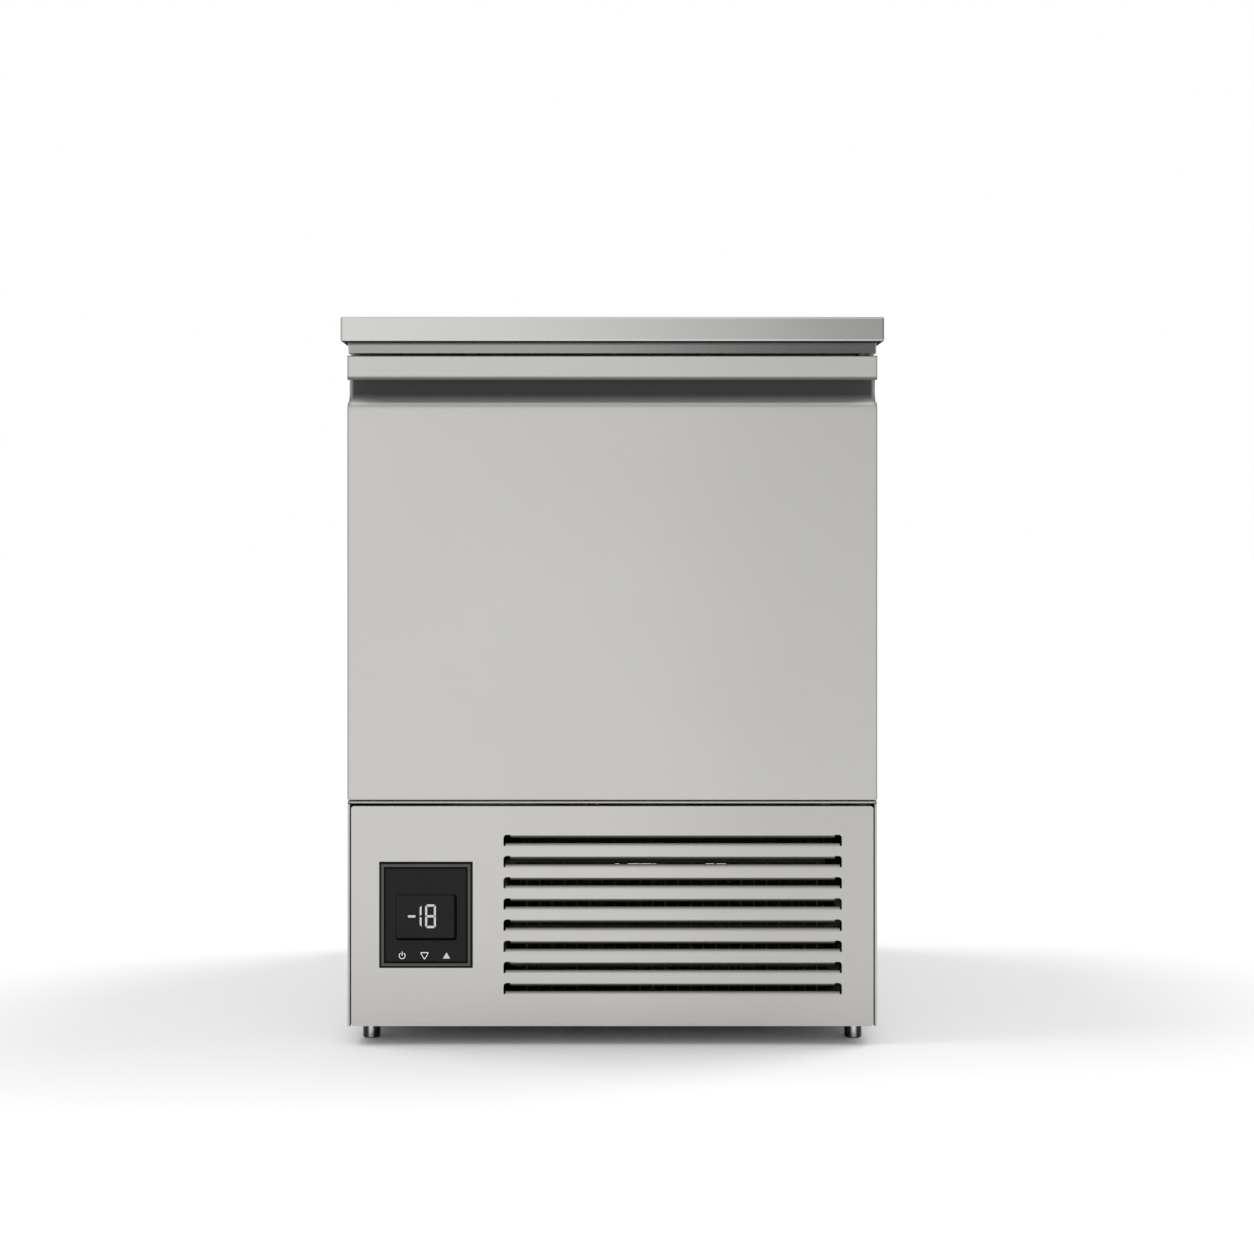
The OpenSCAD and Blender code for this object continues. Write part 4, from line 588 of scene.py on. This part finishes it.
# The display: a minus, a one of two bars and an eight of seven, printed on the lens in a
# pale ink that glows a little, as lit segments would.
digit_colour, digit_glow = (0.58, 0.58, 0.57), 0.2
ink_rough, ink_size, ink_tone = 0.4, 300.0, (0.92, 1.06)
bar_wide, bar_tall, bar_gap, bar_cut = 0.0023, 0.0026, 0.0006, 0.0021
minus_left, minus_right, minus_low, minus_high = -0.2281, -0.2198, 0.1426, 0.1452
one_left, one_right, one_low, one_high = -0.2150, -0.2129, 0.1324, 0.1560
eight_left, eight_right, eight_low, eight_high = -0.2089, -0.1969, 0.1308, 0.1573
digit_mid, one_gap, slant = 0.14405, 0.0009, 0.0024


def lit_print(name, colour, glow):
    """A light print: its own colour with a little light of its own, clouded by fine noise."""
    paint, tree, shader = finish(name, colour, ink_rough, Emission_Strength=glow)
    cloud = noise(tree, place_on(tree), ink_size)
    toned = tinted(tree, (*colour, 1), spread(tree, cloud, *ink_tone))
    wire(tree, shader, Base_Color=toned, Emission_Color=toned)
    return paint


def eight(left, right, low, middle, high, wide, tall, gap, cut):
    """The seven segments of a figure: bars mitred at the corners, a gap between them, and the outer corners
    cut off. Each is worked out for the upper left and turned over to the other sides."""
    span, half_gap = right - left, gap / 2
    top = np.array([(cut, 0), ((cut + gap) / 2, -(cut - gap) / 2), (wide + gap, -tall)])
    top = np.concatenate((top, (np.array((span, 0)) + top * (-1, 1))[::-1]))
    rise = high - middle
    side = np.array([(0, -cut), (0, -rise + gap), (wide / 2, -rise + half_gap),
                     (wide, -rise + tall / 2 + half_gap), (wide, -tall - gap),
                     ((cut - gap) / 2, -(cut + gap) / 2)])
    bar = np.array([(wide / 2 + gap, 0), (wide + half_gap, -tall / 2)])
    bar = np.concatenate((bar, (np.array((span, 0)) + bar * (-1, 1))[::-1]))
    bar = np.concatenate((bar, (bar[1:3] * (1, -1))[::-1]))
    above, below = np.array((left, high)), np.array((left, low))
    return [above + top, (below + top * (1, -1))[::-1], above + side,
            (np.array((right, high)) + side * (-1, 1))[::-1], (below + side * (1, -1))[::-1],
            np.array((right, low)) + side * (-1, -1), np.array((left, middle)) + bar]


light_print = lit_print("light_print", digit_colour, digit_glow)
minus = np.array([(minus_left, minus_low), (minus_right, minus_low), (minus_right, minus_high),
                  (minus_left, minus_high)])
one_foot = np.array([(one_left, one_low + slant), (one_right, one_low), (one_right, digit_mid - 2 * one_gap),
                     (one_right - one_gap, digit_mid - one_gap), (one_left, digit_mid - one_gap)])
one_head = np.array([(one_left, digit_mid + one_gap), (one_right - one_gap, digit_mid + one_gap),
                     (one_right, digit_mid + 2 * one_gap), (one_right, one_high),
                     (one_left, one_high - slant)])
digits = [minus, one_foot, one_head]
digits += eight(eight_left, eight_right, eight_low, digit_mid, eight_high,
                bar_wide, bar_tall, bar_gap, bar_cut)
printed("display_digits", digits, window_front, light_print)

# The button marks: a broken ring with a bar, an open triangle down and a full one up,
# printed over the touch keys on the smoked face. The full one has the display's ink.
# All of them glow a little: painted light, as printed marks are no lamps.
mark_colour, painted_mark_glow = (0.8, 0.8, 0.79), 0.3
bright_print = lit_print("bright_print", mark_colour, painted_mark_glow)
mark_z = 0.0999
power_x, down_x, up_x = -0.2346, -0.2097, -0.1851
ring_from, ring_to, ring_steps = 122, 418, 44
ring_in, ring_out = 0.0029, 0.0037
bar_half, bar_high = 0.00042, 0.0046
up_rise, up_wide, up_tall, up_round = 0.0003, 0.0081, 0.0069, 0.0002
rim_drop, rim_wide, rim_tall, rim_round = 0.0006, 0.0102, 0.0090, 0.0010
gap_drop, gap_wide, gap_tall, gap_round = 0.0003, 0.0076, 0.0067, 0.0006
tip_points = 6
ring_turn = np.linspace(math.radians(ring_from), math.radians(ring_to), ring_steps)
ring_way = np.column_stack((np.cos(ring_turn), np.sin(ring_turn)))
power_ring = (power_x, mark_z) + np.concatenate((ring_out * ring_way, ring_in * ring_way[::-1]))
power_bar = np.array([(power_x - bar_half, mark_z), (power_x + bar_half, mark_z),
                      (power_x + bar_half, mark_z + bar_high), (power_x - bar_half, mark_z + bar_high)])


def triangle(x, z, wide, tall, point_up, soft):
    """A triangle round a middle point, anticlockwise from the front. Its corners are arcs of radius soft:
    points at even turns round each inset corner."""
    half = tall / 2 if point_up else -tall / 2
    line = np.array([(x - wide / 2, z - half), (x + wide / 2, z - half), (x, z + half)])
    line = line if point_up else line[::-1]
    along = np.roll(line, -1, axis=0) - line
    along = along / np.linalg.norm(along, axis=1)[:, None]
    heading = np.arctan2(along[:, 1], along[:, 0])
    before = np.roll(heading, 1)
    turn = np.mod(heading - before, 2 * np.pi)
    inward = along - np.roll(along, 1, axis=0)
    inward = inward / np.linalg.norm(inward, axis=1)[:, None]
    centre = line + inward * (soft / np.cos(turn / 2))[:, None]
    angle = before[:, None] + turn[:, None] * np.linspace(0, 1, tip_points) - np.pi / 2
    return np.stack((centre[:, :1] + soft * np.cos(angle), centre[:, 1:] + soft * np.sin(angle)),
                    axis=2).reshape(-1, 2)


up_mark = triangle(up_x, mark_z + up_rise, up_wide, up_tall, True, up_round)
down_outer = triangle(down_x, mark_z - rim_drop, rim_wide, rim_tall, False, rim_round)
down_inner = triangle(down_x, mark_z - gap_drop, gap_wide, gap_tall, False, gap_round)
printed("button_marks", [power_ring, power_bar], face_front, bright_print)
printed("up_mark", [up_mark], face_front, light_print)
printed("down_mark", band(down_outer, down_inner), face_front, bright_print)

# The door: a skin folded from one brushed sheet, whose top is rolled into a full-width
# grip, closed by two end caps, filled with foam and lined with a formed white pan.
# Painted shade: the coat on what faces down, and a dark band down the door's side edges.
door_roll = (-0.7, 0.0)
door_edge_shade = (0.2942, 0.72)
door_fall, door_right = (0.0, 0.22), 0.95
grip_light, grip_dark = -0.3145, -0.311
grip_low, grip_high = 0.7065, 0.7535
grip_from, grip_to = 0.2905, 0.2965
grip_foot, grip_back, grip_foot_light = 0.7175, 0.7285, 8.7
grip_shade_colour = (0.075, 0.075, 0.074)
pan_colour = (0.76, 0.76, 0.74)
gasket_colour = (0.2, 0.205, 0.21)


def grip_shade(tree, place, facing):
    """Painted shade inside the grip: by depth behind the door's face, between the grip's two heights,
    and fading out at its two ends. Its foot gets painted light: it is paler than its back by grip_foot_light
    to the power of how far down it lies. The whole door gets painted shade, a little darker from the middle
    to the right."""
    deep = ramp(tree, place["Y"], grip_light, grip_dark, 0.0, 1.0)
    above = maths(tree, "GREATER_THAN", place["Z"], grip_low)
    below = maths(tree, "LESS_THAN", place["Z"], grip_high)
    inner = ramp(tree, maths(tree, "ABSOLUTE", place["X"]), grip_from, grip_to, 1.0, 0.0)
    within = maths(tree, "MULTIPLY", below, inner)
    share = maths(tree, "MULTIPLY", maths(tree, "MULTIPLY", deep, above), within)
    down = spread(tree, place["Z"], 1.0, 0.0, From_Min=grip_foot, From_Max=grip_back)
    return ramp(tree, place["X"], *door_fall, 1.0, door_right), share, maths(tree, "POWER", grip_foot_light, down)


dress(steel_sheet("door_steel", steel_colour, front_rough, level_grain, blotch=front_blotch, roll=door_roll,
                  shade_coat=grip_shade_colour, edge=door_edge_shade, shade=grip_shade), "door_skin", "door_end_left",
      "door_end_right")
dress(moulded("door_white", pan_colour, 0.3, grain=600.0, depth=0.02, mottle=0.04), "door_liner")
dress(moulded("gasket_grey", gasket_colour, 0.55, grain=800.0, depth=0.02), "door_gasket")

# Hinges: plated steel brackets at the right, top and bottom, whose pins turn in plastic
# bushes let into the door's ends. The rear cover's screws have the same plating.
hinge_colour = (0.08, 0.08, 0.082)
bush_colour = (0.05, 0.05, 0.05)
hinge_grain = (40.0, 40.0, 40.0)
dress(steel_sheet("hinge_plate", hinge_colour, 0.35, hinge_grain, contrast=0.08), "hinge_bracket_top",
      "hinge_bracket_bottom", "screws")
dress(moulded("bush_plastic", bush_colour, 0.45), "hinge_bushes")

# Wire goods: three welded shelves that lie on the punched rails, and the guard in front
# of the evaporator's fan, all in a white epoxy coat.
wire_colour = (0.74, 0.74, 0.73)
dress(moulded("wire_coat", wire_colour, 0.22, grain=500.0, depth=0.02, Coat_Weight=0.4), "shelf_lower",
      "shelf_middle", "shelf_upper", "fan_guard")

# The cold side: a finned aluminium coil, a steel-sheathed heater bent to a U under it and
# an aluminium tray that catches the melt and drains it down through the foamed floor.
fin_colour = (0.72, 0.73, 0.75)
fin_grain = (60.0, 60.0, 60.0)
heater_colour = (0.3, 0.3, 0.31)
drawn_grain = (30.0, 30.0, 30.0)
dress(steel_sheet("fin_aluminium", fin_colour, 0.38, fin_grain, contrast=0.06, under=0.0), "evaporator_coil",
      "drip_tray")
dress(steel_sheet("heater_steel", heater_colour, 0.4, drawn_grain, contrast=0.12), "defrost_heater")

# The machine: a hermetic compressor on rubber feet, a painted condenser with its duct
# and fan, copper pipes with a drier, and a suction pipe sleeved in black rubber.
enamel_colour = (0.016, 0.016, 0.0165)
condenser_colour = (0.16, 0.16, 0.16)
rubber_colour = (0.02, 0.02, 0.02)
copper_colour = (0.72, 0.38, 0.25)
pipe_shade_colour = (0.006, 0.006, 0.006)
pipe_shade_end, pipe_shade_fade = -0.2, 0.004
dress(moulded("black_enamel", enamel_colour, 0.35, grain=220.0, depth=0.06, dust=0.5), "compressor")
dress(moulded("condenser_black", condenser_colour, 0.7, grain=220.0, depth=0.06, Specular_IOR_Level=0.04),
      "condenser_coil", "condenser_fan_motor", "condenser_shroud", "condenser_fan")
dress(moulded("black_rubber", rubber_colour, 0.75, grain=500.0, depth=0.1, dust=0.4), "compressor_mounts",
      "suction_pipe")


def painted_pipe_shade(tree, place, facing):
    """Painted shade: the pipes' front runs, seen through the louvres, are darkened to black."""
    return 1.0, ramp(tree, place["Y"], pipe_shade_end, pipe_shade_end + pipe_shade_fade, 1.0, 0.0), None


dress(steel_sheet("copper", copper_colour, 0.3, drawn_grain, contrast=0.1, blotch=0.25, under=0.0,
                  shade_coat=pipe_shade_colour, shade=painted_pipe_shade), "filter_drier", "discharge_pipe", "liquid_pipe")

# Feet: four turned steel legs with a bright plated skin. Each has a threaded stem that
# screws into the base tray and sets the cabinet's height.
foot_colour = (0.72, 0.72, 0.72)
foot_grain = (1.0, 1.0, 60.0)
side_shade_from, side_shade_to, side_shade_keep = 0.05, 0.4, 0.05
top_shadow_low, top_shadow_high, top_shadow_share = 0.0165, 0.0185, 0.8


def painted_foot_shade(tree, place, facing):
    """Painted reflection and shade: the foot is bright where it faces straight along X or Y and darkened in
    between, by the product of the normal's two level parts. Its top, where it meets the base, gets a painted
    shadow."""
    corner = maths(tree, "ABSOLUTE", maths(tree, "MULTIPLY", facing["X"], facing["Y"]))
    top_shadow = ramp(tree, place["Z"], top_shadow_low, top_shadow_high, 0.0, top_shadow_share)
    return ramp(tree, corner, side_shade_from, side_shade_to, 1.0, side_shade_keep), top_shadow, None


dress(steel_sheet("foot_chrome", foot_colour, 0.16, foot_grain, contrast=0.05, shade=painted_foot_shade),
      "foot_front_left", "foot_front_right", "foot_rear_left", "foot_rear_right")
